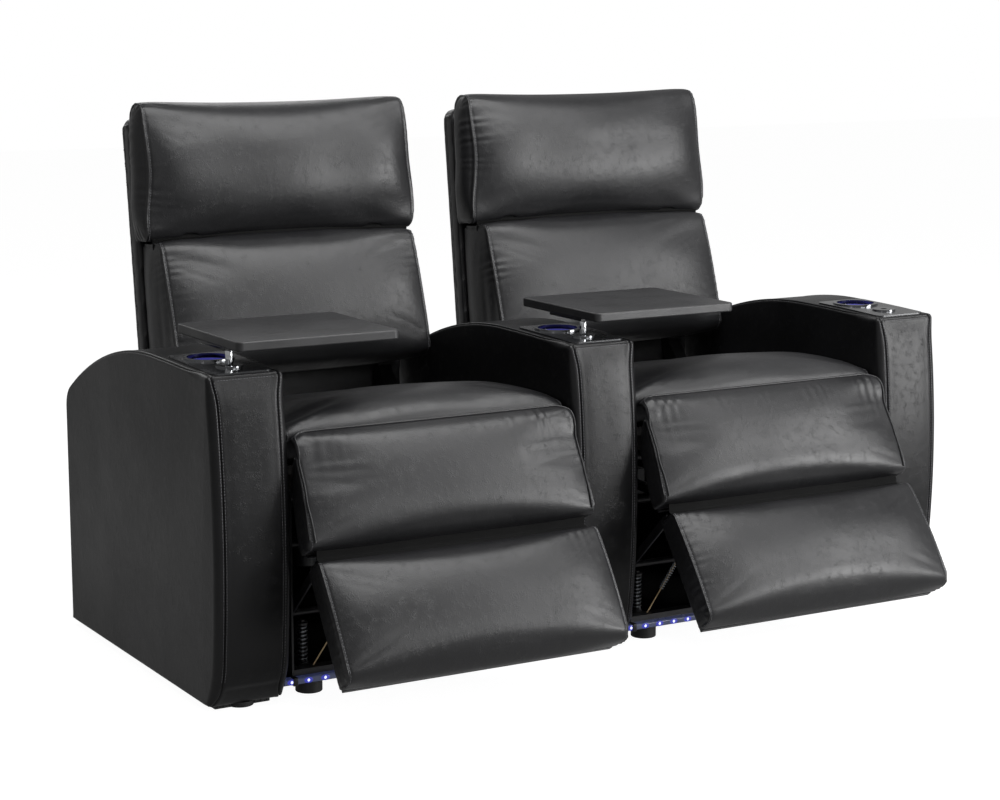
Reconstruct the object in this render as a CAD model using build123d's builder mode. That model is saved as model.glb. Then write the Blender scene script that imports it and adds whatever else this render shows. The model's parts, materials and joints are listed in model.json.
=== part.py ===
from build123d import *
import os
from math import atan2, cos, degrees, hypot, radians, sin, sqrt

os.makedirs("parts", exist_ok=True)

# A row of two power recliner seats that share a centre arm.
# X runs along the row, +Y runs to the back and +Z up, in millimetres.
# The origin is on the floor below the front of the centre arm.

# The row
seat_pitch = 762.0
arm_width = 152.0

# Each seat's leg rest stands part open, by its own angle from closed
leg_open_left = 27.0
leg_open_right = 30.5

# Arm outline, from the side
arm_floor_gap = 10.0
arm_rear_y = 716.0
arm_peak_y = 236.0
arm_peak_z = 636.0
arm_crown_radius = 892.0
arm_rear_round = 55.0
arm_front_y = -31.0
arm_front_z = 630.0
arm_front_round = 10.0
arm_bow_y = -58.0
arm_bow_z = 330.0
arm_toe_y = -46.0
arm_toe_z = 100.0
arm_foot_y = -4.0
arm_edge_round = 11.0
arm_seam_y = 10.0
cover_wall = 16.0
frame_board = 15.0
frame_gap = 0.3
joint_gap = 0.2
pick_margin = 1.0

# Console on each arm: plate, cup holder and tray socket
console_front_y = -20.0
console_length = 216.0
console_width = 122.0
console_thick = 3.0
console_round = 14.0
cup_y = 137.0
cup_inner_radius = 40.5
cup_wall = 1.5
cup_depth = 72.0
cup_rim_radius = 49.0
rim_height = 2.5
light_ring_wall = 2.2
light_ring_height = 5.0
light_ring_drop = 9.0
socket_y = 40.0
socket_radius = 11.0
socket_length = 62.0
socket_flange_radius = 25.0
post_radius = 6.5
post_fit = 0.1
post_end_gap = 1.0
hole_gap = 0.3

# Swivel tray
tray_width = 330.0
tray_depth = 290.0
tray_thick = 18.0
tray_round = 12.0
tray_edge_round = 3.0
tray_left_reach = 14.0
tray_near_reach = 72.0
tray_rise = 33.0
bracket_length = 120.0
bracket_width = 24.0
bracket_thick = 5.0

# Base frame of each seat
plate_inside_x = 268.0
plate_thick = 4.0
tube_size = 25.0
base_front_y = 24.0
base_rear_y = 545.0
rail_x = 232.0
glide_height = 22.0
glide_radius = 26.0
glide_round = 1.5
arm_glide_radius = 25.0
arm_glide_y = 20.0
arm_glide_rear_inset = 56.0
round_tube_radius = 11.0
plate_top_z = 391.0
plate_heel_z = 125.0
plate_ear = 35.0
ear_gap = 1.0
ledge_thick = 4.0

# Light strip under the front of each base
strip_end_gap = 10.0
strip_depth = 15.0
strip_height = 13.0
strip_round = 3.9

# Seat frame and seat cushion
seat_board = 22.0
seat_frame_height = 51.0
seat_frame_rear_y = 540.0
front_rail_y = 26.0
front_rail_depth = 34.0
deck_thick = 6.0
cushion_side_gap = 3.0
cushion_nose_y = -44.0
cushion_nose_z = 507.0
cushion_rear_y = 500.0
cushion_side_drop = 14.0
cushion_edge_z = 522.0
cushion_brow_z = 534.0
cushion_top_z = 544.0
cushion_crown = 20.0
nose_run = 40.0
nose_bulge_in = 11.0
nose_bulge_drop = 8.0
nose_gap = 2.0

# Leg rest: the upper pad hangs on a hinge under the seat's front edge
leg_hinge_y = -50.0
leg_hinge_z = 496.0
leg_barrel_radius = 5.0
barrel_gap = 1.0
hinge_rod_radius = 3.0
hinge_fit = 0.1
leaf_thick = 2.5
leaf_width = 60.0
leaf_pitch = 102.0
leaf_slope = 44.0
pad_side_gap = 6.0
upper_pad_length = 198.0
pad_front = 4.0
pad_side_draw = 6.0
upper_pad_crown = 22.0
lower_pad_crown = 26.0
pad_board_thick = 12.0
pad_board_front = -58.0
pad_board_inset = 14.0
upper_board_start = 62.0
board_chamfer = 10.5
lower_board_start = 10.0
lower_board_inset = 2.0
strap_sink = 5.0
strap_gap = 0.4
pad_top_inset = 13.0
pad_top_round = 6.0
pad_top_lip = 2.0
leg_split_gap = 10.0
leg_split_out = -80.0
lower_pad_start = 17.5
lower_pad_end = 252.0
leg_fold_ratio = 0.2
pad_corner = 14.0
lug_width = 20.0
lug_x = 150.0
lug_gap = 1.0
lug_run = 30.0
lug_sill = 3.0
lug_reach = 5.0

# Links that carry and drive the leg rest
link_shift_y = 135.0
link_shift_z = -126.0
link_thick = 4.0
link_width = 30.0
link_gap = 2.0
link_pin_radius = 5.0
link_pin_fit = 0.1
coupler_width = 18.0
open_pivot_gap = 2.0
plate_pin_radius = 6.0
plate_pin_fit = 0.1
pin_end = 3.0
coupler_pin_end = 1.0
coupler_tube_radius = 7.0
lever_length = 90.0
lever_thick = 8.0
lever_width = 14.0
leg_travel = 72.0
fork_gap = 3.0
fork_wall = 4.0
pin_play = 1.0
fork_length = 40.0
actuator_x = 90.0
rail_width = 16.0
rail_height = 18.0
slide_gap = 0.3
leg_rail_front_y = 27.0
leg_rail_length = 275.0
leg_tube_inset = 71.5
motor_length = 90.0
motor_width = 70.0
motor_height = 62.0
motor_round = 3.0
leg_motor_drop = 43.4
motor_can_radius = 23.0
motor_can_length = 62.0

# Back
recline_y = 575.0
recline_z = 395.0
back_lean = 7.0
recline_travel = 40.0
back_side_gap = 13.0
back_half_width = (seat_pitch - arm_width) / 2 - back_side_gap
shell_back = -118.0
shell_thick = 48.0
shell_low = 5.0
shell_top = 655.0
shell_round = 22.0
upright_plate_gap = 13.0
upright_outer_x = plate_inside_x - upright_plate_gap
upright_width = 30.0
upright_depth = 28.0
upright_top_depth = 14.0
upright_top = 640.0
upright_step = 440.0
upright_bend = 118.0
upright_foot = 26.0
upright_foot_half = 16.0
upright_knee_out = 20.0
low_rail_rise = 40.0
mid_rail_drop = 12.0
cross_rail_height = 36.0
back_tube_radius = 12.0
recess_gap = 0.3
cut_over = 30.0
recess_side_gap = 7.0
recess_half_width = upright_outer_x + recess_side_gap
lumbar_low = 130.0
lumbar_top = 412.0
lumbar_low_out = 95.0
lumbar_top_out = 46.0
lumbar_crown = 24.0
lumbar_top_round = 23.0
lumbar_top_lip = 4.0
lumbar_low_round = 30.0
cushion_back_out = -66.0
back_side_draw = 6.0
recline_rail_front_y = 455.0
recline_rail_length = 185.0
recline_tube_inset = 81.4
recline_motor_drop = 20.0

# Headrest
head_low = 428.0
head_top = 700.0
head_low_out = 15.0
head_top_out = 14.0
head_rear_low = -66.0
head_rear_top = -50.0
head_crown = 44.0
head_round = 24.0
head_bulge_drop = 12.0
head_hinge_up = 420.0
head_hinge_out = -6.0
head_rod_radius = 5.0
head_eye_radius = 8.0
head_lug_x = 205.0
head_lug_thick = 8.0
head_lug_half = 5.0
head_arm_thick = 4.0
head_side_gap = 1.0
head_board_thick = 12.0
head_board_gap = 2.0
head_recess_gap = 6.0
head_board_height = 200.0
head_board_rise = 14.0
head_board_inset = 12.0
head_arm_half = 7.0
head_arm_hold = 30.0
head_arm_proud = 1.0
notch_clear = 3.0
notch_gap = 7.0
notch_half = 16.0

# Switches on each seat's right-hand arm face
switch_y = 150.0
switch_z = 600.0
bezel_length = 74.0
bezel_height = 28.0
bezel_depth = 4.0
rocker_length = 28.0
rocker_height = 20.0
rocker_rise = 2.0
rocker_pitch = 33.0
rocker_gap = 0.8
rocker_heel = 2.0
rocker_dip = 1.2
rocker_pin_x = 2.9
rocker_pin_radius = 0.8
rocker_pin_fit = 0.1
rocker_pin_end = 1.2
bezel_floor = 0.8
bezel_round = 5.0

# Counterbalance spring beside each mechanism, and the power inlet
spring_wire = 1.6
spring_radius = 8.5
spring_turns = 9
spring_length = 72.0
spring_y = 62.0
spring_foot = 3.0
spring_collar = 5.0
spring_rim = 2.5
guide_radius = 5.0
inlet_width = 42.0
inlet_depth = 26.0
inlet_height = 24.0
inlet_socket_radius = 7.0
inlet_socket_depth = 14.0
inlet_pin_radius = 2.0
inlet_round = 3.0

# How full a cushion is at stations across it, from side to side
cushion_stations = ((-1, 0), (-0.9, 0.5), (-0.55, 0.88), (0, 1), (0.55, 0.88), (0.9, 0.5), (1, 0))
back_stations = ((-1, 0), (-0.92, 0.45), (-0.6, 0.85), (0, 1), (0.6, 0.85), (0.92, 0.45), (1, 0))
side_swell = 0.15

# Places worked out from the sizes above
cup_outer_radius = cup_inner_radius + cup_wall
leg_split_along = upper_pad_length + leg_split_gap
seat_opening = seat_pitch - arm_width
half_opening = seat_opening / 2
arms = (("left", -seat_pitch), ("centre", 0.0), ("right", seat_pitch))
seats = (
    ("left", -seat_pitch / 2, leg_open_left),
    ("right", seat_pitch / 2, leg_open_right),
)
arm_rear_z = arm_peak_z - arm_crown_radius
arm_rear_z += sqrt(arm_crown_radius**2 - (arm_rear_y - arm_peak_y) ** 2)
plate_outside_x = plate_inside_x + plate_thick
seat_frame_z = plate_top_z + ledge_thick
seat_top_z = seat_frame_z + seat_frame_height
half_pad = half_opening - pad_side_gap
tube_top_z = glide_height + tube_size
strip_z = glide_height + hole_gap
arm_x_inner = plate_inside_x - link_gap - link_thick
coupler_x_inner = arm_x_inner - link_gap - link_thick
lean = radians(back_lean)


def brow_height(y):
    """Height of the arm's top between its front and its peak."""
    run = arm_peak_y - arm_front_y
    drop = arm_peak_z - arm_front_z
    brow_radius = (run**2 + drop**2) / (2 * drop)
    return arm_peak_z - brow_radius + sqrt(brow_radius**2 - (arm_peak_y - y) ** 2)


def crown_height(y):
    """Height of the arm's top behind its peak."""
    return arm_peak_z - arm_crown_radius + sqrt(arm_crown_radius**2 - (y - arm_peak_y) ** 2)


def back_point(up, out):
    """A point of the back: up along its lean from the pivot, and out towards the sitter."""
    y = recline_y + up * sin(lean) - out * cos(lean)
    z = recline_z + up * cos(lean) + out * sin(lean)
    return (y, z)


def pad_point(pivot, opened, along, out):
    """A point of a leg pad: along it from its pivot, and out from its back."""
    turn = radians(opened)
    y = pivot[0] - along * sin(turn) - out * cos(turn)
    z = pivot[1] - along * cos(turn) + out * sin(turn)
    return (y, z)


def leaf_point(along, offset):
    """A point of the seat's hinge leaf, which slopes down and back from the hinge."""
    turn = radians(leaf_slope)
    y = leg_hinge_y + along * sin(turn) + offset * cos(turn)
    z = leg_hinge_z - along * cos(turn) + offset * sin(turn)
    return (y, z)


def block(low, high, mode=Mode.ADD):
    """A box between two corners."""
    size = [b - a for a, b in zip(low, high)]
    middle = [(a + b) / 2 for a, b in zip(low, high)]
    with Locations(tuple(middle)):
        Box(*size, mode=mode)


def side_plate(points, x_low, x_high, mode=Mode.ADD):
    """An outline of (y, z) points, extruded along X."""
    with BuildSketch(Plane.YZ.offset(x_low)) as outline:
        with BuildLine():
            Polyline(*points, close=True)
        make_face()
    extrude(outline.sketch, amount=x_high - x_low, mode=mode)


def rod(x_low, x_high, centre, radius, mode=Mode.ADD):
    """A round bar along X at centre, a (y, z) point."""
    with BuildSketch(Plane.YZ.offset(x_low)) as outline:
        with Locations(centre):
            Circle(radius)
    extrude(outline.sketch, amount=x_high - x_low, mode=mode)


def post(centre, z_low, z_high, radius, mode=Mode.ADD):
    """A round bar along Z at centre, an (x, y) point."""
    with BuildSketch(Plane.XY.offset(z_low)) as outline:
        with Locations(centre):
            Circle(radius)
    extrude(outline.sketch, amount=z_high - z_low, mode=mode)


def link(x_low, x_high, start, end, width):
    """A flat bar with round ends between two (y, z) points."""
    run = (end[0] - start[0], end[1] - start[1])
    middle = ((start[0] + end[0]) / 2, (start[1] + end[1]) / 2)
    with BuildSketch(Plane.YZ.offset(x_low)) as outline:
        with Locations(middle):
            SlotCenterToCenter(hypot(*run), width, rotation=degrees(atan2(run[1], run[0])))
    extrude(outline.sketch, amount=x_high - x_low)


def arm_outline():
    """The arm's side view: crowned top, bowed front and a rounded toe."""
    foot = (arm_foot_y, arm_floor_gap)
    front = (arm_front_y, arm_front_z)
    peak = (arm_peak_y, arm_peak_z)
    toe = (arm_toe_y, arm_toe_z)
    crown_mid_y = (arm_rear_y + arm_peak_y) / 2
    brow_mid_y = (arm_front_y + arm_peak_y) / 2
    with BuildSketch(Plane.XY) as outline:
        with BuildLine():
            Line(foot, (arm_rear_y, arm_floor_gap))
            Line((arm_rear_y, arm_floor_gap), (arm_rear_y, arm_rear_z))
            ThreePointArc((arm_rear_y, arm_rear_z), (crown_mid_y, crown_height(crown_mid_y)), peak)
            ThreePointArc(peak, (brow_mid_y, brow_height(brow_mid_y)), front)
            bow = ThreePointArc(front, (arm_bow_y, arm_bow_z), toe)
            TangentArc(toe, foot, tangent=bow % 1)
        make_face()
        fillet(outline.vertices().sort_by_distance((arm_rear_y, arm_rear_z, 0))[0], arm_rear_round)
        fillet(outline.vertices().sort_by_distance((arm_front_y, arm_front_z, 0))[0], arm_front_round)
    return outline.sketch


def arm_body(x_centre):
    """A whole upholstered arm, before its long edges are rounded."""
    with BuildSketch(Plane.YZ.offset(x_centre - arm_width / 2)) as outline:
        add(arm_outline())
    extrude(outline.sketch, amount=arm_width)


def under_console(x_centre, rise, mode):
    """A console's width of everything up to the arm's brow, raised by rise."""
    rear_y = console_front_y + console_length
    middle_y = (console_front_y + rear_y) / 2
    low_z = arm_front_z - 2 * cover_wall
    with BuildSketch(Plane.YZ.offset(x_centre - console_width / 2)) as outline:
        with BuildLine():
            Line((console_front_y, low_z), (rear_y, low_z))
            Line((rear_y, low_z), (rear_y, brow_height(rear_y) + rise))
            ThreePointArc(
                (rear_y, brow_height(rear_y) + rise),
                (middle_y, brow_height(middle_y) + rise),
                (console_front_y, brow_height(console_front_y) + rise),
            )
            Line((console_front_y, brow_height(console_front_y) + rise), (console_front_y, low_z))
        make_face()
    extrude(outline.sketch, amount=console_width, mode=mode)


def console_holes(x):
    """The cup holder's and the tray socket's holes through an arm's top."""
    low_z = arm_front_z - 2 * cover_wall
    high_z = arm_peak_z + cover_wall
    post((x, cup_y), low_z, high_z, cup_outer_radius + hole_gap, Mode.SUBTRACT)
    post((x, socket_y), low_z, high_z, socket_radius + hole_gap, Mode.SUBTRACT)


def finish(solid, label):
    """Name a finished piece and write it."""
    solid.part.label = label
    export_step(solid.part, "parts/" + label + ".step")


# Arms: a board frame inside, a padded cover over it and a padded front facing
cup_top_z = brow_height(cup_y) + console_thick
socket_top_z = brow_height(socket_y) + console_thick
socket_low_z = socket_top_z + rim_height - socket_length
inner_half = arm_width / 2 - cover_wall
hollow_half = inner_half - frame_board - frame_gap

for side, arm_x in arms:
    with BuildPart() as arm_cover:
        arm_body(arm_x)
        outer_faces = arm_cover.faces().filter_by(Axis.X)
        long_edges = outer_faces.edges().filter_by(lambda e: e.center().Z > arm_floor_gap + pick_margin)
        fillet(long_edges, arm_edge_round)
        split(bisect_by=Plane.XZ.offset(-arm_seam_y), keep=Keep.BOTTOM)
        with BuildSketch(Plane.YZ.offset(arm_x - inner_half)) as hollow:
            add(arm_outline())
            offset(amount=-cover_wall, mode=Mode.REPLACE)
            with Locations((arm_rear_y / 2, arm_floor_gap + cover_wall / 2)):
                Rectangle(arm_rear_y - 2 * arm_seam_y - 2 * cover_wall, 2 * cover_wall)
            with Locations((arm_seam_y + cover_wall - arm_width, arm_peak_z / 2)):
                Rectangle(2 * arm_width, 2 * arm_peak_z, mode=Mode.SUBTRACT)
        extrude(hollow.sketch, amount=2 * inner_half, mode=Mode.SUBTRACT)
        console_holes(arm_x)
    finish(arm_cover, side + "_arm_cover")

    with BuildPart() as arm_front:
        arm_body(arm_x)
        outer_faces = arm_front.faces().filter_by(Axis.X)
        long_edges = outer_faces.edges().filter_by(lambda e: e.center().Z > arm_floor_gap + pick_margin)
        fillet(long_edges, arm_edge_round)
        split(bisect_by=Plane.XZ.offset(-arm_seam_y), keep=Keep.TOP)
    finish(arm_front, side + "_arm_front")

with BuildPart() as arm_frames:
    for side, arm_x in arms:
        inset = cover_wall + frame_gap
        with BuildSketch(Plane.YZ.offset(arm_x - inner_half + frame_gap)) as boards:
            add(arm_outline())
            offset(amount=-inset, mode=Mode.REPLACE)
            with Locations((arm_rear_y / 2, arm_floor_gap + cover_wall)):
                Rectangle(arm_rear_y - 2 * (arm_seam_y + inset), 2 * cover_wall)
            with Locations((arm_seam_y + inset - arm_width, arm_peak_z / 2)):
                Rectangle(2 * arm_width, 2 * arm_peak_z, mode=Mode.SUBTRACT)
        extrude(boards.sketch, amount=2 * (inner_half - frame_gap))
    for side, arm_x in arms:
        with Locations((arm_x, (arm_rear_y + arm_seam_y) / 2, arm_floor_gap + frame_board)):
            Box(
                2 * hollow_half,
                arm_rear_y - arm_seam_y - 2 * (inset + frame_board),
                arm_peak_z,
                align=(Align.CENTER, Align.CENTER, Align.MIN),
                mode=Mode.SUBTRACT,
            )
        post(
            (arm_x, socket_y),
            socket_low_z - hole_gap,
            arm_peak_z,
            socket_radius + hole_gap,
            Mode.SUBTRACT,
        )
finish(arm_frames, "arm_frames")

# Console trim: plates that follow the arms' brow, cup holders, light rings and tray sockets
with BuildPart() as console_plates:
    for side, arm_x in arms:
        under_console(arm_x, console_thick, Mode.ADD)
        under_console(arm_x, 0, Mode.SUBTRACT)
    fillet(console_plates.edges().filter_by(Axis.Z), console_round)
    for side, arm_x in arms:
        console_holes(arm_x)
finish(console_plates, "console_plates")

with BuildPart() as cup_liners:
    for side, arm_x in arms:
        post((arm_x, cup_y), cup_top_z - console_thick, cup_top_z + rim_height, cup_rim_radius)
        under_console(arm_x, console_thick, Mode.SUBTRACT)
        post((arm_x, cup_y), cup_top_z - cup_depth, cup_top_z + rim_height, cup_outer_radius)
        post(
            (arm_x, cup_y),
            cup_top_z - cup_depth + cup_wall,
            cup_top_z + rim_height,
            cup_inner_radius,
            Mode.SUBTRACT,
        )
finish(cup_liners, "cup_liners")

light_ring_top = cup_top_z + rim_height - light_ring_drop
with BuildPart() as cup_light_rings:
    for side, arm_x in arms:
        post((arm_x, cup_y), light_ring_top - light_ring_height, light_ring_top, cup_inner_radius)
    for side, arm_x in arms:
        post(
            (arm_x, cup_y),
            light_ring_top - light_ring_height,
            light_ring_top,
            cup_inner_radius - light_ring_wall,
            Mode.SUBTRACT,
        )
finish(cup_light_rings, "cup_light_rings")

with BuildPart() as tray_sockets:
    for side, arm_x in arms:
        spot = (arm_x, socket_y)
        post(spot, socket_top_z - console_thick, socket_top_z + rim_height, socket_flange_radius)
        under_console(arm_x, console_thick, Mode.SUBTRACT)
        post(spot, socket_low_z, socket_top_z + rim_height, socket_radius)
        post(spot, socket_low_z, socket_top_z + rim_height, post_radius + post_fit, Mode.SUBTRACT)
finish(tray_sockets, "tray_sockets")

# Floor glides: two under each arm and four under each base frame
with BuildPart() as floor_glides:
    for side, arm_x in arms:
        post((arm_x, arm_glide_y), 0, arm_floor_gap, arm_glide_radius)
        post((arm_x, arm_rear_y - arm_glide_rear_inset), 0, arm_floor_gap, arm_glide_radius)
    for side, seat_x, opened in seats:
        for rail_side in (-1, 1):
            for glide_y in (base_front_y + tube_size / 2, base_rear_y - tube_size / 2):
                post((seat_x + rail_side * rail_x, glide_y), 0, glide_height, glide_radius)
    fillet(floor_glides.faces().group_by(Axis.Z)[0].edges(), glide_round)
finish(floor_glides, "floor_glides")

# Light strips along the front of each base
strip_half = half_opening - strip_end_gap
with BuildPart() as light_strips:
    for side, seat_x, opened in seats:
        block(
            (seat_x - strip_half, base_front_y - strip_depth, strip_z),
            (seat_x + strip_half, base_front_y, strip_z + strip_height),
        )
    fillet(light_strips.edges().filter_by(Axis.X).group_by(Axis.Y)[0], strip_round)
finish(light_strips, "light_strips")

# Places of the leg linkage and the drives
link_pivot = (leg_hinge_y + link_shift_y, leg_hinge_z + link_shift_z)
pin_drop = lever_width / 2 + pin_play
leg_rail_top = link_pivot[1] - lever_length - pin_drop - fork_wall - slide_gap
recline_pivot = (recline_y, recline_z)
recline_rail_top = recline_z - lever_length - pin_drop - fork_wall - slide_gap
leg_tube = (
    leg_rail_front_y + leg_rail_length - leg_tube_inset,
    leg_rail_top - rail_height - round_tube_radius,
)
recline_tube = (
    recline_rail_front_y + recline_rail_length - recline_tube_inset,
    recline_rail_top - rail_height - round_tube_radius,
)
spring_low_z = tube_top_z + spring_foot
spring_top_z = spring_low_z + spring_length

for side, seat_x, opened in seats:
    # Base frame: square floor tubes, side plates, round cross tubes and the seat ledges
    with BuildPart() as base_frame:
        tube_half = plate_inside_x - joint_gap
        for y_low in (base_front_y, base_rear_y - tube_size):
            block(
                (seat_x - tube_half, y_low, glide_height),
                (seat_x + tube_half, y_low + tube_size, tube_top_z),
            )
        for rail_side in (-1, 1):
            rail_middle = seat_x + rail_side * rail_x
            block(
                (rail_middle - tube_size / 2, base_front_y + tube_size + joint_gap, glide_height),
                (rail_middle + tube_size / 2, base_rear_y - tube_size - joint_gap, tube_top_z),
            )
        plate_points = [
            (base_front_y, glide_height),
            (base_rear_y, glide_height),
            (base_rear_y, plate_heel_z),
            (recline_y + plate_ear, recline_z - plate_ear),
            (recline_y + plate_ear, recline_z + plate_ear),
            (seat_frame_rear_y + ear_gap, recline_z + plate_ear),
            (seat_frame_rear_y + ear_gap, plate_top_z),
            (base_front_y, plate_top_z),
        ]
        for x_low in (seat_x - plate_outside_x, seat_x + plate_inside_x):
            side_plate(plate_points, x_low, x_low + plate_thick)
        ledge_z = plate_top_z + joint_gap
        for x_low in (seat_x - half_opening, seat_x + plate_inside_x):
            block(
                (x_low, base_front_y, ledge_z),
                (x_low + half_opening - plate_inside_x, seat_frame_rear_y, seat_frame_z),
            )
        for tube_centre in (leg_tube, recline_tube):
            rod(seat_x - tube_half, seat_x + tube_half, tube_centre, round_tube_radius)
        for pivot in (link_pivot, recline_pivot):
            rod(
                seat_x - plate_outside_x,
                seat_x + plate_outside_x,
                pivot,
                plate_pin_radius + plate_pin_fit,
                Mode.SUBTRACT,
            )
        for spring_side in (-1, 1):
            spot = (seat_x + spring_side * rail_x, spring_y)
            post(spot, tube_top_z + joint_gap, spring_low_z, spring_radius + spring_rim)
            post(spot, spring_low_z, spring_top_z + 2 * spring_collar, guide_radius)
            post(spot, spring_top_z + hole_gap, spring_top_z + spring_collar, spring_radius + spring_rim)
    finish(base_frame, side + "_base_frame")

    # Seat frame: boards between the arms, with the fixed half of the leg rest's hinge
    chamfer_high = (seat_top_z - leg_hinge_z - leg_barrel_radius * sin(radians(leaf_slope)))
    chamfer_high /= -cos(radians(leaf_slope))
    chamfer_low = front_rail_y - leg_hinge_y - leg_barrel_radius * cos(radians(leaf_slope))
    chamfer_low /= sin(radians(leaf_slope))
    with BuildPart() as seat_frame:
        rail_points = [
            (front_rail_y, seat_frame_z),
            leaf_point(chamfer_low, leg_barrel_radius),
            leaf_point(chamfer_high, leg_barrel_radius),
            (front_rail_y + front_rail_depth, seat_top_z),
            (front_rail_y + front_rail_depth, seat_frame_z),
        ]
        side_plate(rail_points, seat_x - half_opening, seat_x + half_opening)
        block(
            (seat_x - half_opening, seat_frame_rear_y - seat_board, seat_frame_z),
            (seat_x + half_opening, seat_frame_rear_y, seat_top_z),
        )
        board_front_y = front_rail_y + front_rail_depth + joint_gap
        board_rear_y = seat_frame_rear_y - seat_board - joint_gap
        for x_low in (seat_x - half_opening, seat_x + half_opening - seat_board):
            block((x_low, board_front_y, seat_frame_z), (x_low + seat_board, board_rear_y, seat_top_z))
        deck_half = half_opening - seat_board - joint_gap
        block(
            (seat_x - deck_half, board_front_y, seat_top_z - deck_thick),
            (seat_x + deck_half, board_rear_y, seat_top_z),
        )
        leaf_outline = [
            leaf_point(0, leg_barrel_radius - leaf_thick),
            leaf_point(chamfer_low, leg_barrel_radius - leaf_thick),
            leaf_point(chamfer_low, leg_barrel_radius),
            leaf_point(0, leg_barrel_radius),
        ]
        for leaf_x in (-leaf_pitch, leaf_pitch):
            x_low = seat_x + leaf_x - leaf_width / 2
            side_plate(leaf_outline, x_low, x_low + leaf_width)
            rod(x_low, x_low + leaf_width, (leg_hinge_y, leg_hinge_z), leg_barrel_radius)
        rod_half = 2 * leaf_pitch + leaf_width / 2
        rod(seat_x - rod_half, seat_x + rod_half, (leg_hinge_y, leg_hinge_z), hinge_rod_radius)
    finish(seat_frame, side + "_seat_frame")

    # Seat cushion: crowned top, rolled front edge, lower and shorter towards its sides
    nose_under = leaf_point(0, leg_barrel_radius + nose_gap)
    heel = leaf_point(chamfer_high, leg_barrel_radius + nose_gap)
    half_cushion = half_opening - cushion_side_gap
    with BuildPart() as seat_cushion:
        for reach, swell in cushion_stations:
            drop = cushion_side_drop * (1 - swell)
            crown = cushion_crown * swell
            under_z = seat_top_z + frame_gap
            top_mid_y = (cushion_rear_y + cushion_nose_y) / 2
            with BuildSketch(Plane.YZ.offset(seat_x + reach * half_cushion)):
                with BuildLine():
                    Line((heel[0], under_z), (cushion_rear_y, under_z))
                    Line((cushion_rear_y, under_z), (cushion_rear_y, cushion_edge_z - drop))
                    ThreePointArc(
                        (cushion_rear_y, cushion_edge_z - drop),
                        (top_mid_y, cushion_top_z + crown - drop),
                        (cushion_nose_y + nose_run, cushion_brow_z + crown * 0.7 - drop),
                    )
                    ThreePointArc(
                        (cushion_nose_y + nose_run, cushion_brow_z + crown * 0.7 - drop),
                        (
                            cushion_nose_y + nose_bulge_in,
                            cushion_brow_z - nose_bulge_drop + crown * 0.5 - drop * 0.7,
                        ),
                        (cushion_nose_y, cushion_nose_z),
                    )
                    Line((cushion_nose_y, cushion_nose_z), (cushion_nose_y, nose_under[1]))
                    Line((cushion_nose_y, nose_under[1]), (heel[0], under_z))
                make_face()
        loft()
    finish(seat_cushion, side + "_seat_cushion")

    # Leg rest actuator: a rail held by its cross tube, with a motor at its rear
    rail_low = leg_rail_top - rail_height
    recline_rail_low = recline_rail_top - rail_height
    with BuildPart() as leg_actuator:
        drive_x = seat_x - actuator_x
        rail_rear_y = leg_rail_front_y + leg_rail_length
        motor_low_z = leg_rail_top - leg_motor_drop
        block(
            (drive_x - rail_width / 2, leg_rail_front_y, rail_low),
            (drive_x + rail_width / 2, rail_rear_y, leg_rail_top),
        )
        block(
            (drive_x - motor_width / 2, rail_rear_y, motor_low_z),
            (drive_x + motor_width / 2, rail_rear_y + motor_length, motor_low_z + motor_height),
        )
        fillet(leg_actuator.edges().filter_by(Axis.Z), motor_round)
        post(
            (drive_x, rail_rear_y + motor_length / 2),
            motor_low_z - motor_can_length,
            motor_low_z,
            motor_can_radius,
        )
    finish(leg_actuator, side + "_leg_actuator")

    # Recline actuator: the same drive, turned to push the lever under the back
    with BuildPart() as recline_actuator:
        drive_x = seat_x + actuator_x
        motor_low_z = recline_rail_low - recline_motor_drop
        block(
            (drive_x - rail_width / 2, recline_rail_front_y, recline_rail_low),
            (drive_x + rail_width / 2, recline_rail_front_y + recline_rail_length, recline_rail_top),
        )
        block(
            (drive_x - motor_width / 2, recline_rail_front_y - motor_length, motor_low_z),
            (drive_x + motor_width / 2, recline_rail_front_y, motor_low_z + motor_height),
        )
        fillet(recline_actuator.edges().filter_by(Axis.Z), motor_round)
        post(
            (drive_x, recline_rail_front_y - motor_length / 2),
            motor_low_z - motor_can_length,
            motor_low_z,
            motor_can_radius,
        )
    finish(recline_actuator, side + "_recline_actuator")

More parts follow.
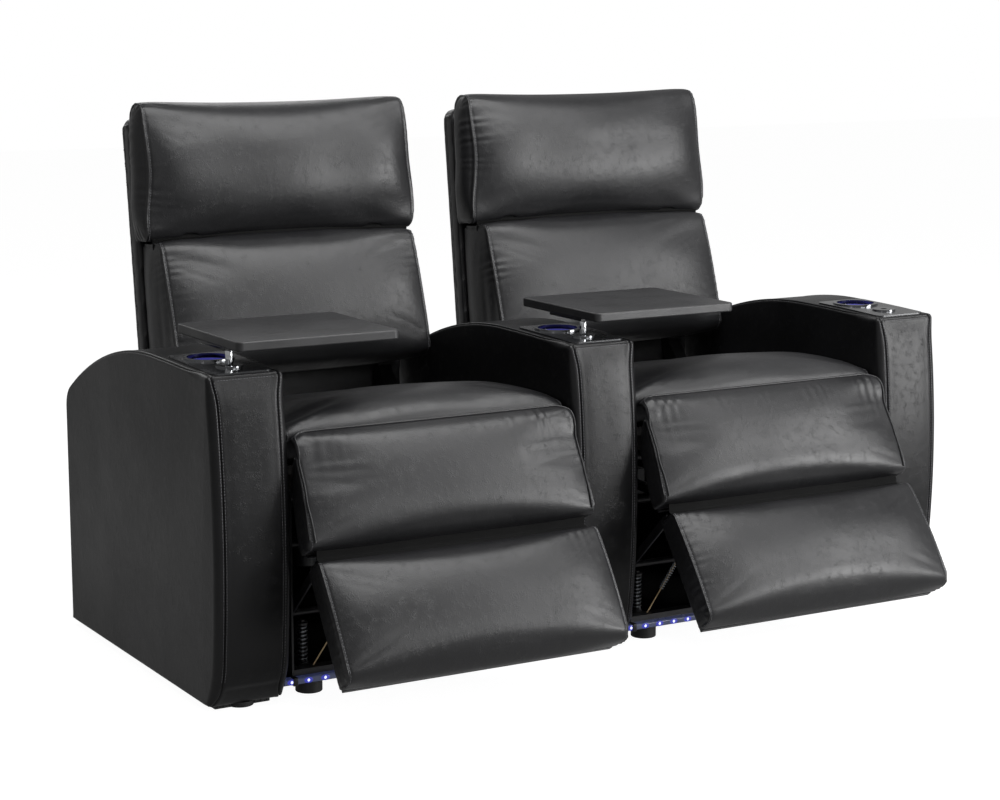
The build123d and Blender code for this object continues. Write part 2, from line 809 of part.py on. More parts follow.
    # Drive blocks: each slides on its rail and pushes a lever's pin in its slotted fork
    leg_lever_turn = radians(opened - leg_travel / 2)
    leg_pin = (
        link_pivot[0] - lever_length * sin(leg_lever_turn),
        link_pivot[1] - lever_length * cos(leg_lever_turn),
    )
    recline_lever_turn = radians(-recline_travel / 2)
    recline_pin = (
        recline_y - lever_length * sin(recline_lever_turn),
        recline_z - lever_length * cos(recline_lever_turn),
    )
    drives = (
        ("_leg_drive_block", seat_x - actuator_x, leg_pin, leg_rail_top, leg_travel),
        ("_recline_drive_block", seat_x + actuator_x, recline_pin, recline_rail_top, recline_travel),
    )
    for drive_label, drive_x, pin, rail_top, travel in drives:
        foot_z = rail_top + slide_gap
        slot_low_z = foot_z + fork_wall
        pin_rise = lever_length * (1 - cos(radians(travel / 2)))
        slot_high_z = slot_low_z + pin_drop + pin_rise + link_pin_radius + pin_play
        lever_half = lever_thick / 2 + link_gap
        fork_half = lever_half + fork_wall
        slot_half = link_pin_radius + fork_gap
        with BuildPart() as drive_block:
            block(
                (drive_x - fork_half, pin[0] - fork_length / 2, foot_z),
                (drive_x + fork_half, pin[0] + fork_length / 2, slot_high_z + fork_wall),
            )
            block(
                (drive_x - lever_half, pin[0] - fork_length / 2, slot_low_z),
                (drive_x + lever_half, pin[0] + fork_length / 2, slot_high_z + fork_wall),
                Mode.SUBTRACT,
            )
            block(
                (drive_x - fork_half, pin[0] - slot_half, slot_low_z),
                (drive_x + fork_half, pin[0] + slot_half, slot_high_z),
                Mode.SUBTRACT,
            )
        finish(drive_block, side + drive_label)

    # Leg drive arms: two bars on a cross tube, with the lever that the drive pushes
    hinge = (leg_hinge_y, leg_hinge_z)
    split_pivot = pad_point(hinge, opened, leg_split_along, leg_split_out)
    arm_end = (split_pivot[0] + link_shift_y, split_pivot[1] + link_shift_z)
    with BuildPart() as leg_drive_arms:
        for x_low in (seat_x - arm_x_inner - link_thick, seat_x + arm_x_inner):
            link(x_low, x_low + link_thick, link_pivot, arm_end, link_width)
        for x_low in (seat_x - arm_x_inner - link_thick, seat_x + arm_x_inner):
            rod(x_low, x_low + link_thick, arm_end, link_pin_radius + link_pin_fit, Mode.SUBTRACT)
        rod(seat_x - arm_x_inner, seat_x + arm_x_inner, link_pivot, round_tube_radius)
        pin_half = plate_outside_x + pin_end
        rod(seat_x - pin_half, seat_x + pin_half, link_pivot, plate_pin_radius)
        lever_x = seat_x - actuator_x - lever_thick / 2
        link(lever_x, lever_x + lever_thick, link_pivot, leg_pin, lever_width)
        rod(lever_x - link_gap - fork_wall, lever_x + lever_thick + link_gap + fork_wall, leg_pin, link_pin_radius)
    finish(leg_drive_arms, side + "_leg_drive_arms")

    # Coupler links: pinned to the drive arms, with a loose eye round the leg rest's middle rod
    with BuildPart() as leg_couplers:
        eye_radius = hinge_rod_radius + open_pivot_gap
        for x_low in (seat_x - coupler_x_inner - link_thick, seat_x + coupler_x_inner):
            link(x_low, x_low + link_thick, arm_end, split_pivot, coupler_width)
            rod(x_low, x_low + link_thick, split_pivot, eye_radius, Mode.SUBTRACT)
        for x_side in (-1, 1):
            pin_ends = sorted((
                seat_x + x_side * coupler_x_inner,
                seat_x + x_side * (arm_x_inner + link_thick + coupler_pin_end),
            ))
            rod(pin_ends[0], pin_ends[1], arm_end, link_pin_radius)
        rod(seat_x - coupler_x_inner, seat_x + coupler_x_inner, arm_end, coupler_tube_radius)
    finish(leg_couplers, side + "_leg_couplers")

    # Upper leg board: ply board, its half of the seat hinge and the lugs and rod of the middle hinge
    def upper(along, out):
        return pad_point((leg_hinge_y, leg_hinge_z), opened, along, out)

    board_back = pad_board_front - pad_board_thick
    strap_end = (strap_sink - pad_board_front) / cos(radians(90 - leaf_slope))
    strap_along = cos(radians(leaf_slope))
    strap_out = -sin(radians(leaf_slope))
    with BuildPart() as upper_leg_board:
        board_outline = [
            upper(upper_board_start, pad_board_front),
            upper(upper_pad_length, pad_board_front),
            upper(upper_pad_length, board_back),
            upper(upper_board_start + board_chamfer, board_back),
            upper(upper_board_start, board_back + board_chamfer),
        ]
        side_plate(board_outline, seat_x - half_pad + pad_board_inset, seat_x + half_pad - pad_board_inset)
        for leaf_x in (-2 * leaf_pitch, 0, 2 * leaf_pitch):
            x_low = seat_x + leaf_x - leaf_width / 2
            strap = []
            for reach, lift in ((0, 0), (1, 0), (1, 1), (0, 1)):
                rise = leg_barrel_radius - leaf_thick + (leaf_thick - strap_gap) * lift
                along = strap_along * strap_end * reach - strap_out * rise
                out = strap_out * strap_end * reach + strap_along * rise
                strap.append(upper(along, out))
            side_plate(strap, x_low, x_low + leaf_width)
            rod(x_low, x_low + leaf_width, hinge, leg_barrel_radius)
            rod(x_low, x_low + leaf_width, hinge, hinge_rod_radius + hinge_fit, Mode.SUBTRACT)
        lug_outline = [
            upper(leg_split_along - lug_run, board_back),
            upper(leg_split_along - lug_run, board_back - lug_sill),
            upper(leg_split_along - lug_reach, leg_split_out - lug_reach),
            upper(leg_split_along + lug_reach, leg_split_out - lug_reach),
            upper(leg_split_along + lug_reach, leg_split_out + lug_reach),
            upper(upper_pad_length, board_back),
        ]
        for lug_side in (-1, 1):
            lug_low = seat_x + lug_side * lug_x - lug_width / 2
            side_plate(lug_outline, lug_low, lug_low + lug_width)
        rod_half = coupler_x_inner + link_thick + link_gap / 2
        rod(seat_x - rod_half, seat_x + rod_half, split_pivot, hinge_rod_radius)
    finish(upper_leg_board, side + "_upper_leg_board")

    # Upper leg pad
    pad_back = pad_board_front + frame_gap
    with BuildPart() as upper_leg_pad:
        slope_gap = leg_barrel_radius + barrel_gap
        slope_low = (slope_gap * strap_along - pad_back) / -strap_out
        slope_foot = strap_along * slope_low - strap_out * slope_gap
        slope_top = (pad_top_inset + strap_out * slope_gap) / strap_along
        slope_top_out = strap_out * slope_top + strap_along * slope_gap
        for reach, swell in cushion_stations:
            front = pad_front - pad_side_draw * (1 - swell)
            crown = upper_pad_crown * (side_swell + (1 - side_swell) * swell)
            top_along = pad_top_inset + pad_top_round
            top_out = max(slope_top_out + pad_top_lip, front - pad_top_lip) + crown * 0.1
            with BuildSketch(Plane.YZ.offset(seat_x + reach * half_pad)):
                with BuildLine():
                    Line(upper(slope_foot, pad_back), upper(upper_pad_length, pad_back))
                    Line(upper(upper_pad_length, pad_back), upper(upper_pad_length, front - pad_corner))
                    ThreePointArc(
                        upper(upper_pad_length, front - pad_corner),
                        upper(upper_pad_length - pad_corner * 0.25, front - pad_corner * 0.25),
                        upper(upper_pad_length - pad_corner, front + crown * 0.25),
                    )
                    ThreePointArc(
                        upper(upper_pad_length - pad_corner, front + crown * 0.25),
                        upper(upper_pad_length / 2, front + crown),
                        upper(top_along, top_out),
                    )
                    Line(upper(top_along, top_out), upper(pad_top_inset, slope_top_out))
                    Line(upper(pad_top_inset, slope_top_out), upper(slope_foot, pad_back))
                make_face()
        loft()
    finish(upper_leg_pad, side + "_upper_leg_pad")

    # Lower leg board, turned a little further out about the middle hinge
    def lower(along, out):
        return pad_point(split_pivot, opened * (1 + leg_fold_ratio), along, out)

    lower_board_front = pad_board_front - leg_split_out
    lower_board_back = lower_board_front - pad_board_thick
    with BuildPart() as lower_leg_board:
        board_outline = [
            lower(lower_board_start, lower_board_front),
            lower(lower_pad_end - lower_board_inset, lower_board_front),
            lower(lower_pad_end - lower_board_inset, lower_board_back),
            lower(lower_board_start, lower_board_back),
        ]
        side_plate(board_outline, seat_x - half_pad + pad_board_inset, seat_x + half_pad - pad_board_inset)
        eye_outline = [
            lower(-lug_reach, -lug_reach),
            lower(lug_reach, -lug_reach),
            lower(lug_run, lower_board_back - lug_sill),
            lower(lug_run, lower_board_back),
            lower(lower_board_start, lower_board_back),
            lower(-lug_reach, lug_reach),
        ]
        for lug_side in (-1, 1):
            lug_low = seat_x + lug_side * (lug_x + lug_width + lug_gap) - lug_width / 2
            side_plate(eye_outline, lug_low, lug_low + lug_width)
            rod(lug_low, lug_low + lug_width, split_pivot, hinge_rod_radius + hinge_fit, Mode.SUBTRACT)
    finish(lower_leg_board, side + "_lower_leg_board")

    # Lower leg pad
    with BuildPart() as lower_leg_pad:
        for reach, swell in cushion_stations:
            front = pad_front - leg_split_out - pad_side_draw * (1 - swell)
            crown = lower_pad_crown * (side_swell + (1 - side_swell) * swell)
            low_back = lower_board_front + frame_gap
            with BuildSketch(Plane.YZ.offset(seat_x + reach * half_pad)):
                with BuildLine():
                    Line(lower(lower_pad_start, low_back), lower(lower_pad_end, low_back))
                    Line(lower(lower_pad_end, low_back), lower(lower_pad_end, front - 2 * pad_corner))
                    ThreePointArc(
                        lower(lower_pad_end, front - 2 * pad_corner),
                        lower(lower_pad_end - pad_corner * 0.4, front - pad_corner * 0.4),
                        lower(lower_pad_end - 2 * pad_corner, front + crown * 0.4),
                    )
                    ThreePointArc(
                        lower(lower_pad_end - 2 * pad_corner, front + crown * 0.4),
                        lower(lower_pad_end * 0.55, front + crown),
                        lower(lower_pad_start + pad_corner, front + crown * 0.2),
                    )
                    ThreePointArc(
                        lower(lower_pad_start + pad_corner, front + crown * 0.2),
                        lower(lower_pad_start + pad_corner * 0.25, front - pad_corner * 0.25),
                        lower(lower_pad_start, front - pad_corner),
                    )
                    Line(lower(lower_pad_start, front - pad_corner), lower(lower_pad_start, low_back))
                make_face()
        loft()
    finish(lower_leg_pad, side + "_lower_leg_pad")

    # Back frame: two uprights, cross rails, the pivot tube with its lever, and the headrest lugs
    shell_front = shell_back + shell_thick
    upright_front = shell_front + upright_depth
    head_hinge = back_point(head_hinge_up, head_hinge_out)
    with BuildPart() as back_frame:
        upright_outline = [
            back_point(-upright_foot, -upright_foot_half),
            back_point(-upright_foot, upright_foot_half),
            back_point(upright_foot, upright_knee_out),
            back_point(upright_bend, upright_front),
            back_point(upright_step, upright_front),
            back_point(upright_step, shell_front + upright_top_depth),
            back_point(upright_top, shell_front + upright_top_depth),
            back_point(upright_top, shell_front),
            back_point(upright_bend - upright_knee_out, shell_front),
        ]
        for x_side in (-1, 1):
            x_ends = sorted((
                seat_x + x_side * (upright_outer_x - upright_width),
                seat_x + x_side * upright_outer_x,
            ))
            side_plate(upright_outline, x_ends[0], x_ends[1])
        rail_half = upright_outer_x - upright_width - joint_gap
        rail_ups = (upright_bend + low_rail_rise, lumbar_top - mid_rail_drop, upright_top - cross_rail_height)
        for rail_up in rail_ups:
            rail_outline = [
                back_point(rail_up, shell_front),
                back_point(rail_up, shell_front + upright_top_depth),
                back_point(rail_up + cross_rail_height, shell_front + upright_top_depth),
                back_point(rail_up + cross_rail_height, shell_front),
            ]
            side_plate(rail_outline, seat_x - rail_half, seat_x + rail_half)
        rod(seat_x - rail_half, seat_x + rail_half, recline_pivot, back_tube_radius)
        for x_side in (-1, 1):
            pin_ends = sorted((
                seat_x + x_side * (upright_outer_x - joint_gap),
                seat_x + x_side * (plate_outside_x + pin_end),
            ))
            rod(pin_ends[0], pin_ends[1], recline_pivot, plate_pin_radius)
            lug_ends = sorted((
                seat_x + x_side * head_lug_x,
                seat_x + x_side * (head_lug_x - head_lug_thick),
            ))
            lug_outline = [
                back_point(head_hinge_up - head_lug_half, shell_front + upright_top_depth / 2),
                back_point(head_hinge_up - head_lug_half, head_hinge_out),
                back_point(head_hinge_up + head_lug_half, head_hinge_out),
                back_point(head_hinge_up + head_lug_half, shell_front + upright_top_depth / 2),
            ]
            side_plate(lug_outline, lug_ends[0], lug_ends[1])
            rod(lug_ends[0], lug_ends[1], head_hinge, head_eye_radius)
            rod(lug_ends[0], lug_ends[1], head_hinge, head_rod_radius + hinge_fit, Mode.SUBTRACT)
        lever_x = seat_x + actuator_x - lever_thick / 2
        link(lever_x, lever_x + lever_thick, recline_pivot, recline_pin, lever_width)
        pin_low = lever_x - link_gap - fork_wall
        rod(pin_low, pin_low + lever_thick + 2 * (link_gap + fork_wall), recline_pin, link_pin_radius)
    finish(back_frame, side + "_back_frame")

    # Back shell: the padded outer panel behind the cushions
    with BuildPart() as back_shell:
        shell_outline = [
            back_point(shell_low, shell_back),
            back_point(shell_low, shell_front),
            back_point(shell_top, shell_front),
            back_point(shell_top, shell_back),
        ]
        side_plate(shell_outline, seat_x - back_half_width, seat_x + back_half_width)
        rear_face = back_shell.faces().filter_by(lambda f: f.normal_at().Y > cos(2 * lean))[0]
        top_edges = back_shell.faces().sort_by(Axis.Z)[-1].edges()
        side_edges = rear_face.edges().filter_by(Plane.YZ).sort_by(Axis.X)
        fillet(ShapeList(top_edges + [side_edges[0], side_edges[-1]]), shell_round)
    finish(back_shell, side + "_back_shell")

    # Lumbar cushion: crowned front, drawn-in sides and a recess behind that takes the back frame
    recess_out = upright_front + recess_gap
    with BuildPart() as lumbar_cushion:
        for reach, swell in back_stations:
            draw = back_side_draw * (1 - swell)
            low = lumbar_low + draw
            high = lumbar_top - draw
            low_out = lumbar_low_out - draw
            high_out = lumbar_top_out - draw
            crown = lumbar_crown * (side_swell + (1 - side_swell) * swell)
            front_mid = back_point((low + high) / 2, (low_out + high_out) / 2 + crown)
            with BuildSketch(Plane.YZ.offset(seat_x + reach * back_half_width)):
                with BuildLine():
                    Line(back_point(low, cushion_back_out), back_point(high, cushion_back_out))
                    Line(back_point(high, cushion_back_out), back_point(high, high_out - lumbar_top_round))
                    ThreePointArc(
                        back_point(high, high_out - lumbar_top_round),
                        back_point(high - lumbar_top_round * 0.25, high_out - lumbar_top_round * 0.18),
                        back_point(high - lumbar_top_round, high_out + lumbar_top_lip),
                    )
                    ThreePointArc(
                        back_point(high - lumbar_top_round, high_out + lumbar_top_lip),
                        front_mid,
                        back_point(low + lumbar_low_round, low_out),
                    )
                    ThreePointArc(
                        back_point(low + lumbar_low_round, low_out),
                        back_point(low + lumbar_low_round * 0.27, low_out - lumbar_low_round * 0.27),
                        back_point(low, low_out - lumbar_low_round),
                    )
                    Line(back_point(low, low_out - lumbar_low_round), back_point(low, cushion_back_out))
                make_face()
        loft()
        recess = [
            back_point(lumbar_low - cut_over, cushion_back_out - cut_over),
            back_point(lumbar_low - cut_over, recess_out),
            back_point(lumbar_top + cut_over, recess_out),
            back_point(lumbar_top + cut_over, cushion_back_out - cut_over),
        ]
        side_plate(recess, seat_x - recess_half_width, seat_x + recess_half_width, Mode.SUBTRACT)
        for x_side in (-1, 1):
            lug_middle = seat_x + x_side * (head_lug_x - head_lug_thick / 2)
            notch_low = head_hinge_up - head_eye_radius - notch_gap
            notch_fore = head_hinge_out + head_eye_radius + notch_gap + head_side_gap
            notch = [
                back_point(notch_low, recess_out - cut_over),
                back_point(notch_low, notch_fore),
                back_point(lumbar_top + cut_over, notch_fore),
                back_point(lumbar_top + cut_over, recess_out - cut_over),
            ]
            side_plate(notch, lug_middle - notch_half, lug_middle + notch_half, Mode.SUBTRACT)
    finish(lumbar_cushion, side + "_lumbar_cushion")

    # Headrest bracket: ply board with two steel arms down to the hinge rod
    board_rear = shell_front + upright_top_depth + head_board_gap
    board_fore = board_rear + head_board_thick
    head_board_low = upright_step + head_board_rise
    with BuildPart() as headrest_bracket:
        board_outline = [
            back_point(head_board_low, board_rear),
            back_point(head_board_low, board_fore),
            back_point(head_board_low + head_board_height, board_fore),
            back_point(head_board_low + head_board_height, board_rear),
        ]
        board_half = recess_half_width - head_board_inset
        side_plate(board_outline, seat_x - board_half, seat_x + board_half)
        arm_points = [
            back_point(head_hinge_up - head_arm_half, head_hinge_out - head_arm_half),
            back_point(head_hinge_up - head_arm_half, head_hinge_out + head_arm_half),
            back_point(head_hinge_up + head_arm_half, head_hinge_out + head_arm_half),
            back_point(head_board_low + head_arm_hold, board_fore + head_arm_proud),
            back_point(head_board_low + head_arm_hold, board_fore - head_arm_half / 2),
            back_point(head_board_low, board_fore - head_arm_half / 2),
            back_point(head_hinge_up + head_arm_half, head_hinge_out - head_arm_half),
        ]
        for x_side in (-1, 1):
            arm_ends = sorted((
                seat_x + x_side * (head_lug_x + head_side_gap),
                seat_x + x_side * (head_lug_x + head_side_gap + head_arm_thick),
            ))
            side_plate(arm_points, arm_ends[0], arm_ends[1])
        rod_reach = head_lug_x + head_side_gap + head_arm_thick
        rod(seat_x - rod_reach, seat_x + rod_reach, head_hinge, head_rod_radius)
    finish(headrest_bracket, side + "_headrest_bracket")

    # Headrest cushion: overstuffed front, drawn-in sides, recessed behind for its board
    head_recess_out = board_fore + recess_gap
    with BuildPart() as headrest_cushion:
        for reach, swell in back_stations:
            draw = back_side_draw * (1 - swell)
            high = head_top - draw
            crown = head_crown * (side_swell + (1 - side_swell) * swell)
            rear_top = head_rear_top + draw
            middle = (head_low + high) / 2 - head_bulge_drop
            front_mid = back_point(middle, (head_low_out + head_top_out) / 2 + crown)
            with BuildSketch(Plane.YZ.offset(seat_x + reach * back_half_width)):
                with BuildLine():
                    Line(back_point(head_low, head_rear_low), back_point(high - head_round, rear_top))
                    ThreePointArc(
                        back_point(high - head_round, rear_top),
                        back_point(high, (rear_top + head_top_out) / 2),
                        back_point(high - head_round, head_top_out),
                    )
                    ThreePointArc(
                        back_point(high - head_round, head_top_out),
                        front_mid,
                        back_point(head_low + head_round, head_low_out + crown * 0.25),
                    )
                    ThreePointArc(
                        back_point(head_low + head_round, head_low_out + crown * 0.25),
                        back_point(head_low + head_round * 0.25, head_low_out - head_round * 0.125),
                        back_point(head_low, head_low_out - head_round),
                    )
                    Line(back_point(head_low, head_low_out - head_round), back_point(head_low, head_rear_low))
                make_face()
        loft()
        recess_top = max(upright_top, head_board_low + head_board_height) + head_recess_gap
        recess = [
            back_point(head_low - cut_over, cushion_back_out - cut_over),
            back_point(head_low - cut_over, head_recess_out),
            back_point(recess_top, head_recess_out),
            back_point(recess_top, cushion_back_out - cut_over),
        ]
        side_plate(recess, seat_x - recess_half_width, seat_x + recess_half_width, Mode.SUBTRACT)
        for x_side in (-1, 1):
            lug_middle = seat_x + x_side * (head_lug_x - head_lug_thick / 2)
            notch_top = head_board_low + head_arm_hold + head_arm_half
            notch = [
                back_point(head_low - cut_over, head_recess_out - cut_over),
                back_point(head_low - cut_over, notch_fore),
                back_point(head_hinge_up + 2 * head_arm_half, notch_fore),
                back_point(notch_top, board_fore + head_arm_proud + notch_clear),
                back_point(notch_top, head_recess_out - cut_over),
            ]
            side_plate(notch, lug_middle - notch_half, lug_middle + notch_half, Mode.SUBTRACT)
    finish(headrest_cushion, side + "_headrest_cushion")

    # Tray on the seat's left-hand arm: a chrome post and bracket, and the tray's top
    tray_arm_x = seat_x - seat_pitch / 2
    tray_low_z = socket_top_z + rim_height + tray_rise
    with BuildPart() as tray_post:
        post((tray_arm_x, socket_y), socket_low_z + post_end_gap, tray_low_z, post_radius)
        bracket_y = socket_y - bracket_width / 2
        block(
            (tray_arm_x - bracket_width / 2, bracket_y, tray_low_z - bracket_thick),
            (tray_arm_x + bracket_width / 2, bracket_y + bracket_length, tray_low_z),
        )
    finish(tray_post, side + "_tray_post")

    with BuildPart() as tray_top:
        block(
            (tray_arm_x - tray_left_reach, socket_y - tray_near_reach, tray_low_z),
            (
                tray_arm_x - tray_left_reach + tray_width,
                socket_y - tray_near_reach + tray_depth,
                tray_low_z + tray_thick,
            ),
        )
        fillet(tray_top.edges().filter_by(Axis.Z), tray_round)
        fillet(tray_top.faces().filter_by(Axis.Z).edges(), tray_edge_round)
    finish(tray_top, side + "_tray_top")

    # Rockers of the switch panel: each rocks about Y in its opening
    panel_x = seat_x - half_opening
    for rocker_name, rocker_shift in (("recline", -0.5), ("headrest", 0.5)):
        rocker_y = switch_y + rocker_shift * rocker_pitch
        with BuildPart() as rocker:
            half_high = rocker_height / 2
            face_x = panel_x + bezel_depth + rocker_rise
            with BuildSketch(Plane.XZ.offset(-(rocker_y + rocker_length / 2))) as outline:
                with BuildLine():
                    Polyline(
                        (panel_x + rocker_heel, switch_z - half_high + rocker_gap),
                        (face_x, switch_z - half_high),
                        (face_x - rocker_dip, switch_z),
                        (face_x, switch_z + half_high),
                        (panel_x + rocker_heel, switch_z + half_high - rocker_gap),
                        close=True,
                    )
                make_face()
            extrude(amount=rocker_length)
            pin_reach = rocker_length / 2 + rocker_gap + rocker_pin_end
            with BuildSketch(Plane.XZ.offset(-(rocker_y + pin_reach))) as pin:
                with Locations((panel_x + rocker_pin_x, switch_z)):
                    Circle(rocker_pin_radius)
            extrude(pin.sketch, amount=2 * pin_reach)
        finish(rocker, side + "_" + rocker_name + "_rocker")

# Switch panels: a bezel on the arm's face with an opening for each rocker
with BuildPart() as switch_bezels:
    for side, seat_x, opened in seats:
        panel_x = seat_x - half_opening
        block(
            (panel_x, switch_y - bezel_length / 2, switch_z - bezel_height / 2),
            (panel_x + bezel_depth, switch_y + bezel_length / 2, switch_z + bezel_height / 2),
        )
    fillet(switch_bezels.edges().filter_by(Axis.X), bezel_round)
    for side, seat_x, opened in seats:
        panel_x = seat_x - half_opening
        for rocker_shift in (-0.5, 0.5):
            rocker_y = switch_y + rocker_shift * rocker_pitch
            half_long = rocker_length / 2 + rocker_gap
            half_high = rocker_height / 2 + rocker_gap
            block(
                (panel_x + bezel_floor, rocker_y - half_long, switch_z - half_high),
                (panel_x + bezel_depth, rocker_y + half_long, switch_z + half_high),
                Mode.SUBTRACT,
            )
            pin_reach = half_long + rocker_pin_end + rocker_pin_fit
            with BuildSketch(Plane.XZ.offset(-(rocker_y + pin_reach))) as pin_hole:
                with Locations((panel_x + rocker_pin_x, switch_z)):
                    Circle(rocker_pin_radius + rocker_pin_fit)
            extrude(pin_hole.sketch, amount=2 * pin_reach, mode=Mode.SUBTRACT)
finish(switch_bezels, "switch_bezels")

# Counterbalance springs: one unbroken wire round each guide rod
spring_pitch = (spring_length - 2 * spring_wire) / spring_turns
with BuildPart() as mechanism_springs:
    for side, seat_x, opened in seats:
        for spring_side in (-1, 1):
            foot = (seat_x + spring_side * rail_x, spring_y, spring_low_z + spring_wire)
            with BuildLine(Plane(origin=foot)) as coil:
                Helix(spring_pitch, spring_pitch * spring_turns, spring_radius)
            start = coil.line @ 0
            with BuildSketch(Plane(origin=start, z_dir=coil.line % 0)):
                RegularPolygon(radius=spring_wire, side_count=12)
            sweep(path=coil.line, is_frenet=True)
finish(mechanism_springs, "mechanism_springs")
print("spring gap between turns", round(spring_pitch - 2 * spring_wire, 2))

# Power inlets on the rear floor tubes
with BuildPart() as power_inlets:
    for side, seat_x, opened in seats:
        block(
            (seat_x - inlet_width / 2, base_rear_y, glide_height),
            (seat_x + inlet_width / 2, base_rear_y + inlet_depth, glide_height + inlet_height),
        )
    fillet(power_inlets.edges().filter_by(Axis.Y), inlet_round)
    for side, seat_x, opened in seats:
        with BuildSketch(Plane.XZ.offset(-(base_rear_y + inlet_depth))) as socket:
            with Locations((seat_x, glide_height + inlet_height / 2)):
                Circle(inlet_socket_radius)
                Circle(inlet_pin_radius, mode=Mode.SUBTRACT)
        extrude(socket.sketch, amount=inlet_socket_depth, mode=Mode.SUBTRACT)
finish(power_inlets, "power_inlets")
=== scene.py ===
import json
import math

import bpy
import numpy as np
from mathutils import Matrix, Vector, noise
from mathutils.bvhtree import BVHTree


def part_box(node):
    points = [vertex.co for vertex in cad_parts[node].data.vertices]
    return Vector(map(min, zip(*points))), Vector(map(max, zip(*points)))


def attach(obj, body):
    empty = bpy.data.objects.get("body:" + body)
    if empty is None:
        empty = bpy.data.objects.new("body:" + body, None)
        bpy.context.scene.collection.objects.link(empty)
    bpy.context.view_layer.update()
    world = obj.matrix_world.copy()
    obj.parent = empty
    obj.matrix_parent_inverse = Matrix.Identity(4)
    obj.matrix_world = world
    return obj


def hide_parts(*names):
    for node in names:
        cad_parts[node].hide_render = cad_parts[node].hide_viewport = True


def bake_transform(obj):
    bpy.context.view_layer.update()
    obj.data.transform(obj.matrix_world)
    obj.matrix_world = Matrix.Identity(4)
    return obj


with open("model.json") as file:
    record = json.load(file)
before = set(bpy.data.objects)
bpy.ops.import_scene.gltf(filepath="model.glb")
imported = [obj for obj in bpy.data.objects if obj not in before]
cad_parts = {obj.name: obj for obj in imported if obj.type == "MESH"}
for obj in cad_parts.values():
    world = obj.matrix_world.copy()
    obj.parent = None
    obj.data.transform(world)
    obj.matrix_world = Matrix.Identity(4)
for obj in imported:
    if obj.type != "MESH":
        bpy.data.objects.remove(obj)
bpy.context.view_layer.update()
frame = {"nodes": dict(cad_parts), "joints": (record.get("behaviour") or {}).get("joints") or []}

print("frame loaded")

# where the seats and arms stand along the row, in metres, and how the seats are set, in degrees
row = {
    "pitch": 0.762,
    "arms": {"left": -0.762, "centre": 0.0, "right": 0.762},
    "seats": {"left": -0.381, "right": 0.381},
    "legOpen": {"left": 27.0, "right": 30.5},
    "foldShare": 0.2,
    "lean": 7.0,
    "backPivot": (0.575, 0.395),
}
joints = {joint["name"]: joint for joint in frame["joints"]}
hinge = {side: Vector(joints[side + "_leg_rest"]["pos_m"]) for side in row["seats"]}
split = {side: Vector(joints[side + "_leg_fold"]["pos_m"]) for side in row["seats"]}


# small helpers
def clearPick():
    if bpy.context.mode != "OBJECT":
        bpy.ops.object.mode_set(mode="OBJECT")
    bpy.ops.object.select_all(action="DESELECT")


def pickOnly(*pieces):
    clearPick()
    for piece in pieces:
        piece.select_set(True)
    bpy.context.view_layer.objects.active = pieces[0]


def added(step, **values):
    # what an add operator makes
    clearPick()
    step(**values)
    return bpy.context.object


def editAll(piece, step, **values):
    # one edit mode step on the whole piece
    pickOnly(piece)
    bpy.ops.object.mode_set(mode="EDIT")
    bpy.ops.mesh.select_all(action="SELECT")
    step(**values)
    bpy.ops.object.mode_set(mode="OBJECT")


def editFaces(piece, wanted, step, **values):
    # one edit mode step on the faces that are wanted
    pickOnly(piece)
    bpy.ops.object.mode_set(mode="EDIT")
    bpy.ops.mesh.select_mode(type="FACE")
    bpy.ops.mesh.select_all(action="DESELECT")
    bpy.ops.object.mode_set(mode="OBJECT")
    for face in piece.data.polygons:
        face.select = wanted(face)
    bpy.ops.object.mode_set(mode="EDIT")
    step(**values)
    bpy.ops.object.mode_set(mode="OBJECT")


def settle(piece):
    # the piece's place goes into its mesh
    pickOnly(piece)
    bpy.ops.object.transform_apply(location=True, rotation=True, scale=True)


def applyAll(piece):
    pickOnly(piece)
    for modifier in list(piece.modifiers):
        bpy.ops.object.modifier_apply(modifier=modifier.name)


def modified(piece, kind, **values):
    modifier = piece.modifiers.new("change", kind)
    for key, value in values.items():
        setattr(modifier, key, value)
    applyAll(piece)


def smooth(piece, angle=40):
    pickOnly(piece)
    bpy.ops.object.shade_smooth_by_angle(angle=math.radians(angle))


def roundAll(piece):
    pickOnly(piece)
    bpy.ops.object.shade_smooth()


def outward(piece):
    editAll(piece, bpy.ops.mesh.normals_make_consistent, inside=False)


def readOut(data, key, count):
    flat = np.empty(count * 3, dtype=np.float32)
    data.foreach_get(key, flat)
    return flat.reshape(-1, 3).astype(float)


def points(piece):
    return readOut(piece.data.vertices, "co", len(piece.data.vertices))


def normals(piece):
    return readOut(piece.data.vertex_normals, "vector", len(piece.data.vertices))


def place(piece, co):
    piece.data.vertices.foreach_set("co", np.asarray(co, dtype=np.float32).ravel())
    piece.data.update()


def bentGrid(name, spots, closed=False):
    # a grid primitive whose points are laid on spots, an array across x along x 3
    across, along = spots.shape[:2]
    piece = added(bpy.ops.mesh.primitive_grid_add, x_subdivisions=across - 1, y_subdivisions=along - 1, size=1)
    piece.name = name
    order = points(piece)
    column = np.rint((order[:, 0] + 0.5) * (across - 1)).astype(int)
    rowOf = np.rint((order[:, 1] + 0.5) * (along - 1)).astype(int)
    place(piece, spots[column, rowOf])
    if closed:
        # its two long edges meet, and its ends are filled
        editAll(piece, bpy.ops.mesh.remove_doubles, threshold=0.00001)
        editAll(piece, bpy.ops.mesh.fill_holes, sides=0)
        outward(piece)
    return piece


def copyOf(piece, name, matrix=None):
    twin = piece.copy()
    twin.data = piece.data.copy()
    twin.name = name
    bpy.context.collection.objects.link(twin)
    if matrix is not None:
        twin.data.transform(matrix)
    return twin


